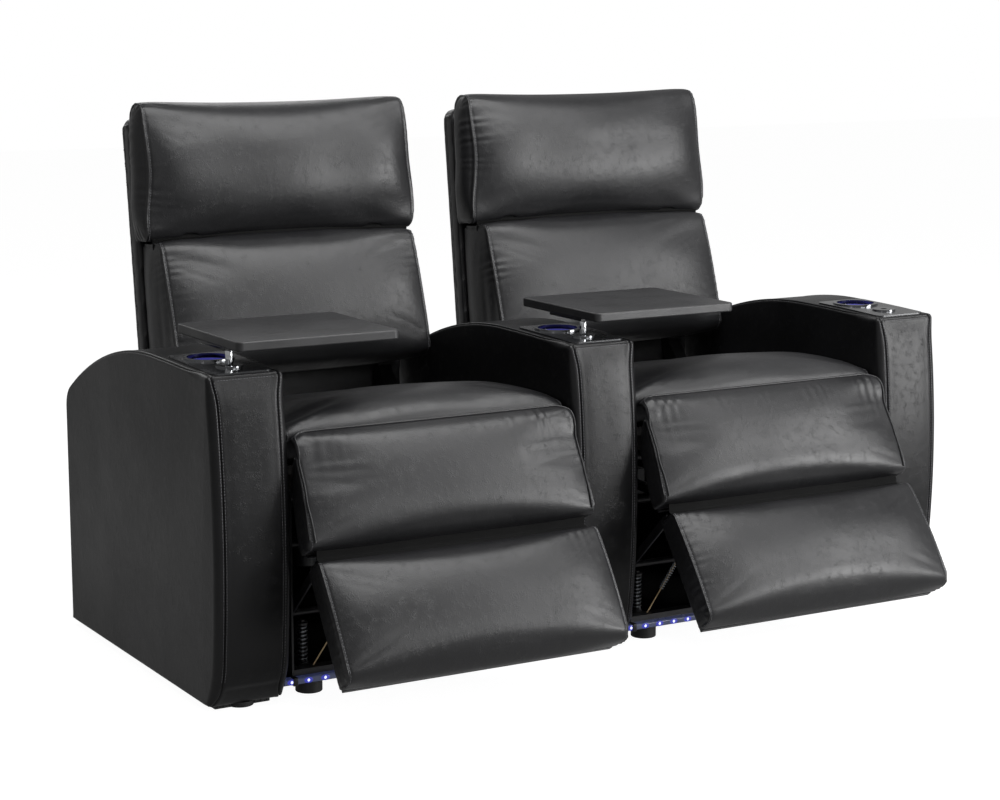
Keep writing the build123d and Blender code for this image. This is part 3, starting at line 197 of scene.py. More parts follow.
def ownCopy(nodeName, name):
    # a merged copy of a CAD node that stands on its own
    piece = copyOf(frame["nodes"][nodeName], name)
    piece.parent = None
    piece.matrix_world = Matrix.Identity(4)
    for key in list(piece.keys()):
        del piece[key]
    piece.hide_set(False)
    piece.hide_render = False
    editAll(piece, bpy.ops.mesh.remove_doubles, threshold=0.00002)
    return piece


def joined(name, parts):
    pickOnly(*parts)
    if len(parts) > 1:
        bpy.ops.object.join()
    piece = bpy.context.view_layer.objects.active
    piece.name = name
    return piece


def dress(piece, *materials):
    piece.data.materials.clear()
    for material in materials:
        piece.data.materials.append(material)


def handOver(piece, finish, body):
    # the finish, and the body that carries the piece
    dress(piece, finishes[finish])
    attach(piece, body)


def surfaceOf(piece):
    mesh = piece.data
    mesh.calc_loop_triangles()
    corners = [tuple(t.vertices) for t in mesh.loop_triangles]
    return BVHTree.FromPolygons([v.co.copy() for v in mesh.vertices], corners)


def runsOf(path):
    # the way covered at each point of a path
    steps = np.linalg.norm(np.diff(path, axis=0), axis=1)
    return np.concatenate([[0], np.cumsum(steps)])


def evenly(path, step, closed=False):
    # the path's points again, a fixed step apart
    path = np.asarray(path, dtype=float)
    if closed:
        path = np.vstack([path, path[:1]])
    reach = runsOf(path)
    count = max(2, int(round(reach[-1] / step)) + 1)
    at = np.linspace(0, reach[-1], count)
    out = np.stack([np.interp(at, reach, path[:, k]) for k in range(3)], axis=1)
    return out[:-1] if closed else out


def ease(value, low, high):
    t = np.clip((value - low) / (high - low), 0, 1)
    return t * t * (3 - 2 * t)


def bump(value, spread):
    # 1 at nothing, falling away within the spread
    return np.exp(-((value / spread) ** 2))


# shader helpers
def node(tree, kind, values=None, **settings):
    made = tree.nodes.new("ShaderNode" + kind)
    for key, value in settings.items():
        setattr(made, key, value)
    for key, value in (values or {}).items():
        made.inputs[key].default_value = value
    return made


def wire(tree, parts, *links):
    # a link reads "node:socket > node:socket, node:socket"
    def socket(text, giving):
        name, label = text.split(":")
        sockets = parts[name].outputs if giving else parts[name].inputs
        return sockets[int(label) if label.isdigit() else label]

    for link in links:
        source, targets = link.split(" > ")
        for target in targets.split(", "):
            tree.links.new(socket(source, True), socket(target, False))


def rgb(r, g, b):
    return (r, g, b, 1)


# camera
camera = {
    "place": (-2.43977, -3.84617, 1.31028),
    "turn": 30.06,
    "dip": 9.95,
    "pixels": 2330.84,
    "sensor": 36,
    "photoWidth": 1000,
    "farClip": 60,
}
bpy.ops.object.camera_add(
    location=camera["place"],
    rotation=(math.radians(90 - camera["dip"]), 0, -math.radians(camera["turn"])),
)
lens = bpy.context.object
lens.name = "photoCamera"
lens.data.sensor_width = camera["sensor"]
lens.data.lens = camera["pixels"] * camera["sensor"] / camera["photoWidth"]
lens.data.clip_end = camera["farClip"]
bpy.context.scene.camera = lens
bpy.context.scene.view_settings.view_transform = "Standard"
print("camera set")


# light, floor and background
studio = {
    "roomGlow": 0.11,
    "mirrorShare": 0.25,
    "floorTone": 0.24,
    "floorGlow": 0.96,
    "floorSize": 30,
    "lamps": [
        # name, place, aim, width, height, watts
        ("overheadBox", (0.3, -0.7, 3.0), (0.1, 0.1, 0.5), 2.6, 1.9, 90),
        ("leftBox", (-3.6, -2.6, 2.4), (-0.3, 0.0, 0.6), 0.4, 1.8, 6),
        ("frontBox", (0.9, -4.4, 2.0), (0.1, 0.0, 0.6), 1.7, 1.1, 27),
        ("rightBox", (3.0, -3.2, 0.85), (0.5, 0.0, 0.35), 1.6, 1.5, 118),
        ("rightHighBox", (2.9, -2.5, 2.6), (0.5, 0.0, 0.4), 1.4, 1.2, 62),
        ("rearBox", (0.0, 3.4, 2.6), (0.0, 0.4, 0.8), 3.0, 1.2, 24),
    ],
}
for lampName, spot, aim, wide, high, watts in studio["lamps"]:
    lamp = added(bpy.ops.object.light_add, type="AREA", location=spot)
    lamp.name = lampName
    lamp.data.shape = "RECTANGLE"
    lamp.data.size = wide
    lamp.data.size_y = high
    lamp.data.energy = watts
    lamp.rotation_euler = (Vector(aim) - Vector(spot)).to_track_quat("-Z", "Y").to_euler()


def paleShare(tree):
    # how far the white surround shows: wholly to the camera and through glass, in part in reflections
    parts = {
        "rays": node(tree, "LightPath"),
        "seen": node(tree, "Math", operation="MAXIMUM"),
        "mirrored": node(tree, "Math", {1: studio["mirrorShare"]}, operation="MULTIPLY"),
        "either": node(tree, "Math", operation="MAXIMUM"),
    }
    wire(
        tree, parts, "rays:Is Camera Ray > seen:0", "rays:Is Transmission Ray > seen:1",
        "rays:Is Glossy Ray > mirrored:0", "seen:0 > either:0", "mirrored:0 > either:1",
    )
    return parts["either"]


room = bpy.data.worlds.new("paleRoom")
bpy.context.scene.world = room
room.use_nodes = True
tree = room.node_tree
tree.nodes.clear()
parts = {
    "end": node(tree, "OutputWorld"),
    "mix": node(tree, "MixShader"),
    "plain": node(tree, "Background", {"Color": rgb(1, 1, 1), "Strength": studio["roomGlow"]}),
    "white": node(tree, "Background", {"Color": rgb(1, 1, 1), "Strength": 1.0}),
    "share": paleShare(tree),
}
wire(tree, parts, "share:0 > mix:0", "plain:0 > mix:1", "white:0 > mix:2", "mix:0 > end:Surface")

floor = added(bpy.ops.mesh.primitive_plane_add, size=studio["floorSize"], location=(0, 0, 0))
floor.name = "studioFloor"
paper = bpy.data.materials.new("palePaper")
paper.use_nodes = True
tree = paper.node_tree
tree.nodes.clear()
parts = {
    "end": node(tree, "OutputMaterial"),
    "matt": node(tree, "BsdfDiffuse", {"Color": (studio["floorTone"],) * 3 + (1,)}),
    "glow": node(tree, "Emission", {"Strength": studio["floorGlow"]}),
    "none": node(tree, "BsdfTransparent", {"Color": rgb(0, 0, 0)}),
    "mix": node(tree, "MixShader"),
    "total": node(tree, "AddShader"),
    "share": paleShare(tree),
}
wire(
    tree, parts, "share:0 > mix:0", "none:0 > mix:1", "glow:0 > mix:2",
    "matt:0 > total:0", "mix:0 > total:1", "total:0 > end:Surface",
)
dress(floor, paper)
print("light and floor set")


# shader groups
def shaderGroup(name, inputs, kinds, *links):
    # an input without a value is a vector, one with four numbers a colour
    group = bpy.data.node_groups.new(name, "ShaderNodeTree")
    for label, value in inputs.items():
        kind = "Vector" if value is None else "Color" if isinstance(value, tuple) else "Float"
        socket = group.interface.new_socket(name=label, in_out="INPUT", socket_type="NodeSocket" + kind)
        if value is not None:
            socket.default_value = value
    for label, kind in (("Color", "Color"), ("Roughness", "Float"), ("Normal", "Vector")):
        group.interface.new_socket(name=label, in_out="OUTPUT", socket_type="NodeSocket" + kind)
    parts = {"in": group.nodes.new("NodeGroupInput"), "out": group.nodes.new("NodeGroupOutput")}
    for label, (kind, values, settings) in kinds.items():
        parts[label] = node(group, kind, values, **settings)
    wire(group, parts, *links)
    return group


def span(low, high, start=0.0, end=1.0):
    return ("MapRange", {"From Min": low, "From Max": high, "To Min": start, "To Max": end}, {})


colourMix = {"data_type": "RGBA"}
clampedSum = ("Math", {}, {"operation": "ADD", "use_clamp": True})

# pebbled hide: fine cells, shallow creases, soft unevenness, tone that drifts, and painted shade that darkens the
# creases between the cells
hideSurface = shaderGroup(
    "hideSurface",
    {
        "Vector": None, "Tone": rgb(0.012, 0.012, 0.013), "Worn Tone": rgb(0.03, 0.03, 0.032),
        "Grain Scale": 620.0, "Grain Depth": 0.00008, "Crease Depth": 0.00025, "Wave Depth": 0.0012,
        "Polish": 0.34,
    },
    {
        "cells": ("TexVoronoi", {}, {"feature": "F1"}),
        "pores": ("TexVoronoi", {}, {"feature": "DISTANCE_TO_EDGE"}),
        "drift": ("TexNoise", {"Scale": 60.0, "Detail": 4.0, "Roughness": 0.6}, {}),
        "swell": ("TexNoise", {"Scale": 9.0, "Detail": 2.0, "Roughness": 0.45}, {}),
        "patch": ("TexNoise", {"Scale": 5.0, "Detail": 5.0, "Roughness": 0.6}, {}),
        "half": ("Math", {1: 0.42}, {"operation": "MULTIPLY"}),
        "poreCut": span(0.0, 0.12),
        "creaseMask": span(0.45, 0.7),
        "creases": ("Math", {}, {"operation": "MULTIPLY"}),
        "fineBump": ("Bump", {"Strength": 1.0}, {}),
        "creaseBump": ("Bump", {"Strength": 0.8}, {}),
        "waveBump": ("Bump", {"Strength": 1.0}, {}),
        "toneMask": span(0.42, 0.72, 0.0, 0.7),
        "tone": ("Mix", {}, colourMix),
        # painted shade: the creases between the grain's cells are coloured darker, where shade falls
        "poreTone": ("Mix", {"B": rgb(0.004, 0.004, 0.004)}, colourMix),
        "poreShare": span(0.0, 0.06, 0.45, 0.0),
        "roughDrift": span(0.3, 0.7, -0.05, 0.07),
        "rough": clampedSum,
    },
    "in:Vector > cells:Vector, pores:Vector, drift:Vector, swell:Vector, patch:Vector",
    "in:Grain Scale > cells:Scale, half:0", "half:0 > pores:Scale",
    "pores:Distance > poreCut:Value, poreShare:Value", "drift:Fac > creaseMask:Value",
    "poreCut:Result > creases:0", "creaseMask:Result > creases:1",
    "swell:Fac > waveBump:Height", "in:Wave Depth > waveBump:Distance",
    "creases:0 > creaseBump:Height", "in:Crease Depth > creaseBump:Distance",
    "waveBump:Normal > creaseBump:Normal",
    "cells:Distance > fineBump:Height", "in:Grain Depth > fineBump:Distance",
    "creaseBump:Normal > fineBump:Normal", "fineBump:Normal > out:Normal",
    "patch:Fac > toneMask:Value, roughDrift:Value", "toneMask:Result > tone:Factor",
    "in:Tone > tone:A", "in:Worn Tone > tone:B",
    "poreShare:Result > poreTone:Factor", "tone:Result > poreTone:A", "poreTone:Result > out:Color",
    "roughDrift:Result > rough:0", "in:Polish > rough:1", "rough:0 > out:Roughness",
)

# speckle and faint patches for metal, plastic and wood
fineSpeckle = shaderGroup(
    "fineSpeckle",
    {
        "Vector": None, "Tone": rgb(0.1, 0.1, 0.1), "Second Tone": rgb(0.15, 0.15, 0.15),
        "Speckle Scale": 400.0, "Speckle Depth": 0.00006, "Patch Scale": 14.0, "Dullness": 0.4,
    },
    {
        "speckle": ("TexNoise", {"Detail": 3.0, "Roughness": 0.6}, {}),
        "patch": ("TexNoise", {"Detail": 5.0, "Roughness": 0.65}, {}),
        "tone": ("Mix", {}, colourMix),
        "mask": span(0.35, 0.7),
        "drift": span(0.3, 0.7, -0.08, 0.1),
        "rough": clampedSum,
        "bump": ("Bump", {"Strength": 1.0}, {}),
    },
    "in:Vector > speckle:Vector, patch:Vector",
    "in:Speckle Scale > speckle:Scale", "in:Patch Scale > patch:Scale",
    "patch:Fac > mask:Value, drift:Value", "mask:Result > tone:Factor",
    "in:Tone > tone:A", "in:Second Tone > tone:B", "tone:Result > out:Color",
    "drift:Result > rough:0", "in:Dullness > rough:1", "rough:0 > out:Roughness",
    "speckle:Fac > bump:Height", "in:Speckle Depth > bump:Distance", "bump:Normal > out:Normal",
)


def surfaced(name, group, values, shader, stretch=(1, 1, 1)):
    material = bpy.data.materials.new(name)
    material.use_nodes = True
    tree = material.node_tree
    parts = {
        "skin": tree.nodes["Principled BSDF"],
        "where": node(tree, "TexCoord"),
        "spread": node(tree, "Mapping", {"Scale": stretch}),
        "effect": node(tree, "Group", node_tree=group),
    }
    for key, value in shader.items():
        parts["skin"].inputs[key].default_value = value
    for key, value in values.items():
        parts["effect"].inputs[key].default_value = value
    wire(
        tree, parts, "where:Object > spread:Vector", "spread:Vector > effect:Vector",
        "effect:Color > skin:Base Color", "effect:Roughness > skin:Roughness", "effect:Normal > skin:Normal",
    )
    return material


hides = {
    # tone, worn tone, polish, wave depth, specular, coat, coat roughness
    "blackHide": (rgb(0.0105, 0.0105, 0.0115), rgb(0.016, 0.016, 0.0175), 0.38, 0.0009, 0.38, 0.05, 0.25),
    # the arms' hide is the black hide again, painted darker and given less shine: painted shade on the arms
    "armHide": (rgb(0.0065, 0.0065, 0.0071), rgb(0.0105, 0.0105, 0.0115), 0.34, 0.0008, 0.24, 0.03, 0.2),
}
steel = {"Metallic": 1.0}
speckled = {
    # tone, second tone, speckle scale, speckle depth, dullness, shader values
    "seamThread": ((0.08, 0.08, 0.085), (0.14, 0.14, 0.15), 2500.0, 0.00006, 0.55, {}),
    "gunmetalPlate": (
        (0.022, 0.023, 0.025), (0.032, 0.033, 0.036), 1500.0, 0.00002, 0.22,
        {"Metallic": 0.35, "Coat Weight": 0.4, "Coat Roughness": 0.08},
    ),
    "brightChrome": ((0.62, 0.63, 0.65), (0.7, 0.71, 0.73), 300.0, 0.000004, 0.1, steel),
    "darkChrome": ((0.2, 0.205, 0.215), (0.26, 0.265, 0.275), 300.0, 0.000004, 0.14, steel),
    "zincSteel": ((0.4, 0.42, 0.45), (0.55, 0.57, 0.6), 700.0, 0.00002, 0.34, steel),
    "brassRod": ((0.55, 0.4, 0.22), (0.65, 0.5, 0.3), 500.0, 0.00001, 0.3, steel),
    "blackSteel": ((0.012, 0.012, 0.013), (0.024, 0.024, 0.026), 900.0, 0.00005, 0.36, {"Specular IOR Level": 0.55}),
    "drivePlastic": ((0.045, 0.047, 0.05), (0.06, 0.062, 0.066), 1400.0, 0.00006, 0.5, {}),
    "trayPlastic": ((0.0145, 0.0145, 0.0155), (0.019, 0.019, 0.0205), 1900.0, 0.00008, 0.42, {}),
    "switchPlastic": ((0.012, 0.012, 0.013), (0.018, 0.018, 0.02), 1500.0, 0.00006, 0.25, {}),
    "glideRubber": ((0.01, 0.01, 0.01), (0.02, 0.02, 0.02), 900.0, 0.0001, 0.6, {}),
    "plyBoard": ((0.3, 0.2, 0.11), (0.42, 0.3, 0.18), 220.0, 0.00012, 0.6, {}),
    "darkBoard": ((0.016, 0.014, 0.012), (0.026, 0.022, 0.019), 220.0, 0.00012, 0.62, {}),
    # dustCloth is a near-black matte cloth; under the base it also serves as painted shade beneath the seat
    "dustCloth": ((0.004, 0.004, 0.004), (0.007, 0.007, 0.007), 2600.0, 0.0002, 0.85, {"Specular IOR Level": 0.15}),
}
grain = {
    # stretch and patch scale where they differ
    "zincSteel": ((1, 6, 1), 14.0), "plyBoard": ((0.25, 1, 3), 30.0), "darkBoard": ((0.25, 1, 3), 30.0),
}
lit = {
    # tone, glow, strength, dullness
    "blueGlow": ((0.04, 0.04, 0.25), rgb(0.12, 0.12, 0.75), 0.3, 0.3),
    "stripTube": ((0.16, 0.18, 0.22), rgb(0.1, 0.13, 0.4), 0.12, 0.22),
    "haloLight": ((0.05, 0.06, 0.35), rgb(0.08, 0.09, 0.75), 0.42, 0.3),
    "dotLight": ((0.8, 0.8, 1.0), rgb(0.62, 0.66, 1.0), 1.5, 0.3),
}
for name, (tone, glow, strength, dullness) in lit.items():
    shine = {"Emission Color": glow, "Emission Strength": strength, "Coat Weight": 0.3}
    speckled[name] = (tone, tone, 900.0, 0.00003, dullness, shine)

finishes = {}
for name, (tone, worn, polish, wave, specular, coat, coatRough) in hides.items():
    finishes[name] = surfaced(
        name, hideSurface, {"Tone": tone, "Worn Tone": worn, "Polish": polish, "Wave Depth": wave},
        {"Specular IOR Level": specular, "Coat Weight": coat, "Coat Roughness": coatRough},
    )
for name, (tone, second, scale, depth, dullness, shader) in speckled.items():
    stretch, patches = grain.get(name, ((1, 1, 1), 14.0))
    values = {
        "Tone": rgb(*tone), "Second Tone": rgb(*second), "Speckle Scale": scale,
        "Speckle Depth": depth, "Patch Scale": patches, "Dullness": dullness,
    }
    finishes[name] = surfaced(name, fineSpeckle, values, shader, stretch)
print("finishes made")

# each CAD node that stays gets its finish
kept = {
    "plyBoard": ["arm_frames"], "darkBoard": ["seat_frame"], "gunmetalPlate": ["console_plates"],
    "darkChrome": ["cup_liners", "tray_sockets"], "brightChrome": ["tray_post"], "trayPlastic": ["tray_top"],
    "blueGlow": ["cup_light_rings"], "stripTube": ["light_strips"], "glideRubber": ["floor_glides"],
    "zincSteel": ["mechanism_springs"], "switchPlastic": ["switch_bezels", "recline_rocker", "headrest_rocker"],
    "drivePlastic": [
        "power_inlets", "leg_actuator", "recline_actuator", "leg_drive_block", "recline_drive_block",
    ],
    "blackSteel": [
        "base_frame", "leg_drive_arms", "leg_couplers", "upper_leg_board", "lower_leg_board", "back_frame",
        "headrest_bracket",
    ],
}
for finish, names in kept.items():
    for name in names:
        for start in ("", "left_", "right_"):
            piece = frame["nodes"].get(start + name)
            if piece is not None:
                if not piece.data.materials:
                    piece.data.materials.append(finishes[finish])
                for slot in piece.material_slots:
                    slot.material = finishes[finish]


# stitches
stitchRow = {"pitch": 0.0056, "length": 0.0038, "width": 0.00144, "thickness": 0.0012, "lift": 0.00025}
stitchSeed = added(
    bpy.ops.mesh.primitive_cylinder_add, vertices=6, radius=0.5, depth=1.0, rotation=(0, math.pi / 2, 0))
settle(stitchSeed)
editAll(stitchSeed, bpy.ops.mesh.bevel, offset=0.22, segments=1, affect="EDGES")
seedPoints = points(stitchSeed)
seedFaces = [tuple(p.vertices) for p in stitchSeed.data.polygons]
bpy.data.objects.remove(stitchSeed)


def stitches(name, surface, lines):
    # a thread mesh laid on the surface along each line of points
    sizes = np.array([stitchRow["length"], stitchRow["width"], stitchRow["thickness"]])
    verts, faces = [], []
    for line in lines:
        line = evenly(line, stitchRow["pitch"])
        for a, b in zip(line[:-1], line[1:]):
            spot, normal, _, _ = surface.find_nearest(Vector((a + b) / 2))
            if spot is None:
                continue
            along = Vector(b - a)
            along -= normal * along.dot(normal)
            if along.length < 1e-6:
                continue
            along.normalize()
            axes = np.array([along, normal.cross(along), normal])
            start = len(verts)
            verts.extend(np.array(spot + normal * stitchRow["lift"]) + (seedPoints * sizes) @ axes)
            faces.extend(tuple(i + start for i in f) for f in seedFaces)
    mesh = bpy.data.meshes.new(name)
    mesh.from_pydata([tuple(v) for v in verts], [], faces)
    piece = bpy.data.objects.new(name, mesh)
    bpy.context.collection.objects.link(piece)
    dress(piece, finishes["seamThread"])
    roundAll(piece)
    return piece


# upholstered arms
armCover = {
    "halfWidth": 0.076,
    "turnSpread": 0.011,
    "topEdge": 0.006,
    "frontEdge": 0.0145,
    "cornerEdge": 0.0075,
    "cornerSpread": 0.03,
    "flatStart": 0.001,
    "seamSpread": 0.0013,
    "seamDepth": 0.0021,
    "seamRuns": (-0.006, -0.0035, -0.002, -0.0012, -0.0006, 0, 0.0006, 0.0012, 0.002, 0.0035, 0.006, 0.010),
    "shoulder": {"rise": 0.0007, "at": 0.005, "spread": 0.004},
    "frontPuff": 0.0035,
    "frontBlendFrom": 0.085,
    "footHeight": 0.05,
    "corner": (-0.031, 0.629),
    "centre": (0.33, 0.32),
    "stitchOffset": 0.0034,
    "frontStitches": (0.06, 0.622),
    "topStitches": {"half": 0.056, "y": -0.034, "z": 0.6235},
    "pit": {"half": 0.051, "from": -0.010, "to": 0.187, "depth": 0.088},
}
armRing = {
    "rays": 2400, "besideMiddle": 0.055, "reach": 1.2, "jump": 0.02, "fillStep": 0.005,
    "step": 0.011, "closeStep": 0.005, "finest": 0.0013,
    "corner": (-0.031, 0.628), "toe": (-0.03, 0.03), "rear": (0.7, 0.5),
}


def armOutline(side):
    # the arm's side outline, read from the CAD cover and facing beside the console
    verts, tris = [], []
    for name in (side + "_arm_cover", side + "_arm_front"):
        mesh = frame["nodes"][name].data
        mesh.calc_loop_triangles()
        start = len(verts)
        verts.extend(v.co.copy() for v in mesh.vertices)
        tris.extend(tuple(start + i for i in t.vertices) for t in mesh.loop_triangles)
    shell = BVHTree.FromPolygons(verts, tris)
    middle = Vector((row["arms"][side] + armRing["besideMiddle"], *armCover["centre"]))
    reach, ring = armRing["reach"], []
    for turn in np.linspace(0, 2 * math.pi, armRing["rays"], endpoint=False):
        way = Vector((0, math.cos(turn), math.sin(turn)))
        hit = shell.ray_cast(middle + way * reach, -way, reach - 0.01)[0]
        if hit and ring and math.dist(ring[-1], (hit.y, hit.z)) > armRing["jump"]:
            # the cover is open below, so its foot line is drawn straight
            last = np.array(ring[-1])
            count = int(math.dist(last, (hit.y, hit.z)) / armRing["fillStep"])
            ring.extend(tuple(last + (np.array([hit.y, hit.z]) - last) * k / count) for k in range(1, count))
        if hit:
            ring.append((hit.y, hit.z))
    ring = np.array(ring)
    # closer together at the front top corner, the toe and the rear
    steps = np.linalg.norm(np.roll(ring, -1, axis=0) - ring, axis=1)
    corner, toe, rear = (np.array(armRing[name]) for name in ("corner", "toe", "rear"))
    chosen, travelled = [0], 0.0
    for i in range(1, len(ring)):
        travelled += steps[i - 1]
        gap = armRing["step"]
        near = np.linalg.norm(ring[i] - corner)
        if near < 0.05:
            gap = armRing["finest"] + (armRing["step"] - armRing["finest"]) * max(0.0, near - 0.012) / 0.05
        elif np.linalg.norm(ring[i] - toe) < 0.07 or np.linalg.norm(ring[i] - rear) < 0.1:
            gap = armRing["closeStep"]
        if travelled >= gap:
            chosen.append(i)
            travelled = 0.0
    return ring[chosen]


def waysInward(ring):
    # square to the outline, turning gently past each corner, so that the edge roll never folds
    tangent = np.roll(ring, -1, axis=0) - np.roll(ring, 1, axis=0)
    tangent /= np.linalg.norm(tangent, axis=1)[:, None]
    inward = np.stack([-tangent[:, 1], tangent[:, 0]], axis=1)
    inward *= np.sign(np.einsum("ij,ij->i", inward, np.array(armCover["centre"]) - ring))[:, None]
    steps = np.linalg.norm(np.roll(ring, -1, axis=0) - ring, axis=1)
    reach = np.concatenate([[0], np.cumsum(steps)])[:-1]
    around = np.abs(reach[:, None] - reach[None, :])
    around = np.minimum(around, steps.sum() - around)
    weight = bump(around, armCover["turnSpread"]) * (steps + np.roll(steps, 1))[None, :]
    eased = weight @ inward
    eased /= np.linalg.norm(eased, axis=1)[:, None]
    return eased / np.clip(np.einsum("ij,ij->i", eased, inward), 0.75, 1)[:, None]


def armSection(y, z, fromCorner):
    # half of the arm's cross-section at one point of its outline: out to the side and in from the outline
    size = armCover
    blend = size["frontBlendFrom"]
    frontness = ease(-y, -blend, 0.02) if z >= size["footHeight"] else ease(-y, -0.02, 0.03)
    nearCorner = bump(fromCorner, size["cornerSpread"])
    edge = size["topEdge"] + (size["frontEdge"] - size["topEdge"]) * frontness
    edge += (size["cornerEdge"] - edge) * nearCorner
    # the seam sits in the middle of the edge on top and just past it in front
    bend, flat = edge * math.pi / 2, size["flatStart"]
    seamAt = flat + bend / 2 * (1 - frontness) + (bend + 0.003) * frontness
    runs = np.concatenate([
        np.linspace(0, seamAt + size["seamRuns"][0], 6)[:-1],
        seamAt + np.array(size["seamRuns"]),
        np.linspace(seamAt + size["seamRuns"][-1], flat + bend + size["halfWidth"] - edge, 12)[1:],
    ])
    sheet = []
    for run in runs:
        angle = np.clip((run - flat) / edge, 0, math.pi / 2)
        over = max(0.0, run - flat - bend)
        x = size["halfWidth"] - edge + edge * math.cos(angle) - over
        inset = edge - edge * math.sin(angle) + max(0.0, flat - run)
        gap = run - seamAt
        shoulder = size["shoulder"]
        push = -size["seamDepth"] * bump(gap, size["seamSpread"])
        push += shoulder["rise"] * bump(abs(gap) - shoulder["at"], shoulder["spread"])
        inside = x / (size["halfWidth"] - edge)
        if inside < 1 and frontness > 0.5 and z > size["footHeight"]:
            push += size["frontPuff"] * (1 - inside**4) * (frontness - 0.5) * 2 * (1 - nearCorner)
        if gap > -0.001:
            push -= size["seamDepth"] * 0.9 * bump(fromCorner, size["seamSpread"])
        sheet.append((x + push * math.cos(angle), inset - push * math.sin(angle)))
    return np.array(sheet), seamAt, edge


def armPiece(side):
    armX, size = row["arms"][side], armCover
    ring = armOutline(side)
    inward = waysInward(ring)
    arc = runsOf(ring)
    cornerAt = arc[np.argmin(np.linalg.norm(ring - np.array(size["corner"]), axis=1))]
    spots, frontSeam = [], []
    for i, (y, z) in enumerate(ring):
        sheet, seamAt, edge = armSection(y, z, arc[i] - cornerAt)
        whole = np.vstack([sheet, sheet[::-1][1:] * (-1, 1)])
        here = np.empty((len(whole), 3))
        here[:, 0] = armX + whole[:, 0]
        here[:, 1] = y + inward[i][0] * whole[:, 1]
        here[:, 2] = z + inward[i][1] * whole[:, 1]
        spots.append(here)
        if y < 0 and size["frontStitches"][0] < z < size["frontStitches"][1]:
            seamX = size["halfWidth"] - edge - (seamAt - size["flatStart"] - edge * math.pi / 2)
            frontSeam.append((seamX, y, z))
    piece = bentGrid(side + "ArmCover", np.array(spots + spots[:1]), closed=True)
    # a pit under the console plate for the cup holder and the tray socket
    pit = size["pit"]
    editFaces(
        piece,
        lambda face: abs(face.center.x - armX) < pit["half"]
        and pit["from"] < face.center.y < pit["to"] and face.normal.z > 0.5,
        bpy.ops.mesh.extrude_region_move,
        TRANSFORM_OT_translate={"value": (0, 0, -pit["depth"])},
    )
    smooth(piece, 50)
    # two rows of stitches beside each front seam, one along the top seam
    lines = []
    for sign in (1, -1):
        for shift in (-size["stitchOffset"], size["stitchOffset"]):
            line = [(armX + sign * min(x - shift, size["halfWidth"]), y, z) for x, y, z in frontSeam]
            lines.append(np.array(sorted(line, key=lambda p: p[2])))
    top = size["topStitches"]
    lines.append(np.array([(armX + x, top["y"], top["z"]) for x in np.linspace(-top["half"], top["half"], 30)]))
    thread = stitches(side + "ArmStitches", surfaceOf(piece), lines)
    # the arm cover takes the darker hide, painted shade on the arms
    handOver(piece, "armHide", "base")
    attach(thread, "base")
    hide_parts(side + "_arm_cover", side + "_arm_front")


for side in row["arms"]:
    armPiece(side)
print("arms made")


# cushions and pads
def outDirection(lift):
    turn = math.radians(lift)
    return np.array([0, -math.cos(turn), math.sin(turn)])


def padLook(body, out, voxel, cap, fill, folds, pressure=3.5, shrink=0.002):
    # folds: depth and reach of the gathers, depth of the wrinkles, depth of the gathers on the flanks
    look = {"body": body, "out": out, "voxel": voxel, "cap": cap, "fill": fill, "pressure": pressure}
    look.update(zip(("gather", "gatherReach", "wrinkle", "flankGather"), folds), shrink=shrink)
    return look


lean, hanging = row["lean"], row["legOpen"]["left"]
pads = {
    "headrest": padLook(
        "headrest", outDirection(lean), 0.0055, 0.012, 0.95, (0.0011, 0.020, 0.0009, 0.0016), pressure=4.0),
    "lumbar": padLook(
        "back", outDirection(lean), 0.0057, 0.011, 0.85, (0.0009, 0.020, 0.0009, 0.0014), pressure=4.0),
    "seat": padLook("base", np.array([0, 0, 1]), 0.0074, 0.009, 0.9, (0.0005, 0.02, 0.0011, 0.0003)),
    "upperPad": padLook(
        "upper_leg", outDirection(hanging), 0.0054, 0.009, 0.85, (0.0009, 0.022, 0.0009, 0.0014)),
    "lowerPad": padLook(
        "lower_leg", outDirection(hanging * (1 + row["foldShare"])), 0.0056, 0.009, 0.85,
        (0.0004, 0.018, 0.0009, 0.0010)),
    "shell": padLook(
        "back", -outDirection(lean), 0.0085, 0.005, 0.8, (0.0003, 0.014, 0.0006, 0.0003), shrink=0.001),
}
padNodes = {
    "headrest": "headrest_cushion", "lumbar": "lumbar_cushion", "seat": "seat_cushion",
    "upperPad": "upper_leg_pad", "lowerPad": "lower_leg_pad", "shell": "back_shell",
}
clothLook = {
    "quality": 4, "mass": 0.35, "tension_stiffness": 14, "compression_stiffness": 14,
    "shear_stiffness": 6, "bending_stiffness": 0.6, "use_pressure": True,
}
padBuild = {
    "mergeAway": 0.016, "seamStep": 0.002, "seamAbove": 0.012, "seamReach": 0.03, "heldBelow": -0.25,
    "seamGap": 0.005, "heldFade": 0.006, "steps": 11, "quickSink": 0.001, "relax": 0.5, "relaxTimes": 6,
}
# the roll of leather on the upper pad, in front of the hinge barrel
lip = {
    "cuts": 25, "from": -0.026, "to": 0.105, "halfWidth": 0.3005, "cornerDrop": 0.012, "cornerWidth": 0.022,
    "crown": ((0.0, 0.1, 0.2, 0.25, 0.27, 0.285, 0.30), (0.0262, 0.0247, 0.0226, 0.0182, 0.0138, 0.0086, 0.0050)),
    "share": ((-0.026, -0.019, -0.010, 0.003, 0.020, 0.050, 0.105), (0.16, 0.40, 0.55, 0.66, 0.77, 0.93, 1.0)),
    "least": (
        (-0.026, -0.017, -0.008, 0.010, 0.024, 0.045, 0.105), (0.001, 0.0100, 0.0150, 0.0150, 0.0100, 0.0015, 0.0)),
    "back": ((-0.026, -0.015, -0.009, 0.009, 0.016, 0.105), (-0.012, -0.006, 0.0060, 0.0060, -0.004, -0.006)),
}


def padPoint(pivot, lift, along, out):
    # a point of a leg pad's side view, from its hinge
    turn = math.radians(lift)
    y = pivot.y - along * math.sin(turn) - out * math.cos(turn)
    return y, pivot.z - along * math.cos(turn) + out * math.sin(turn)


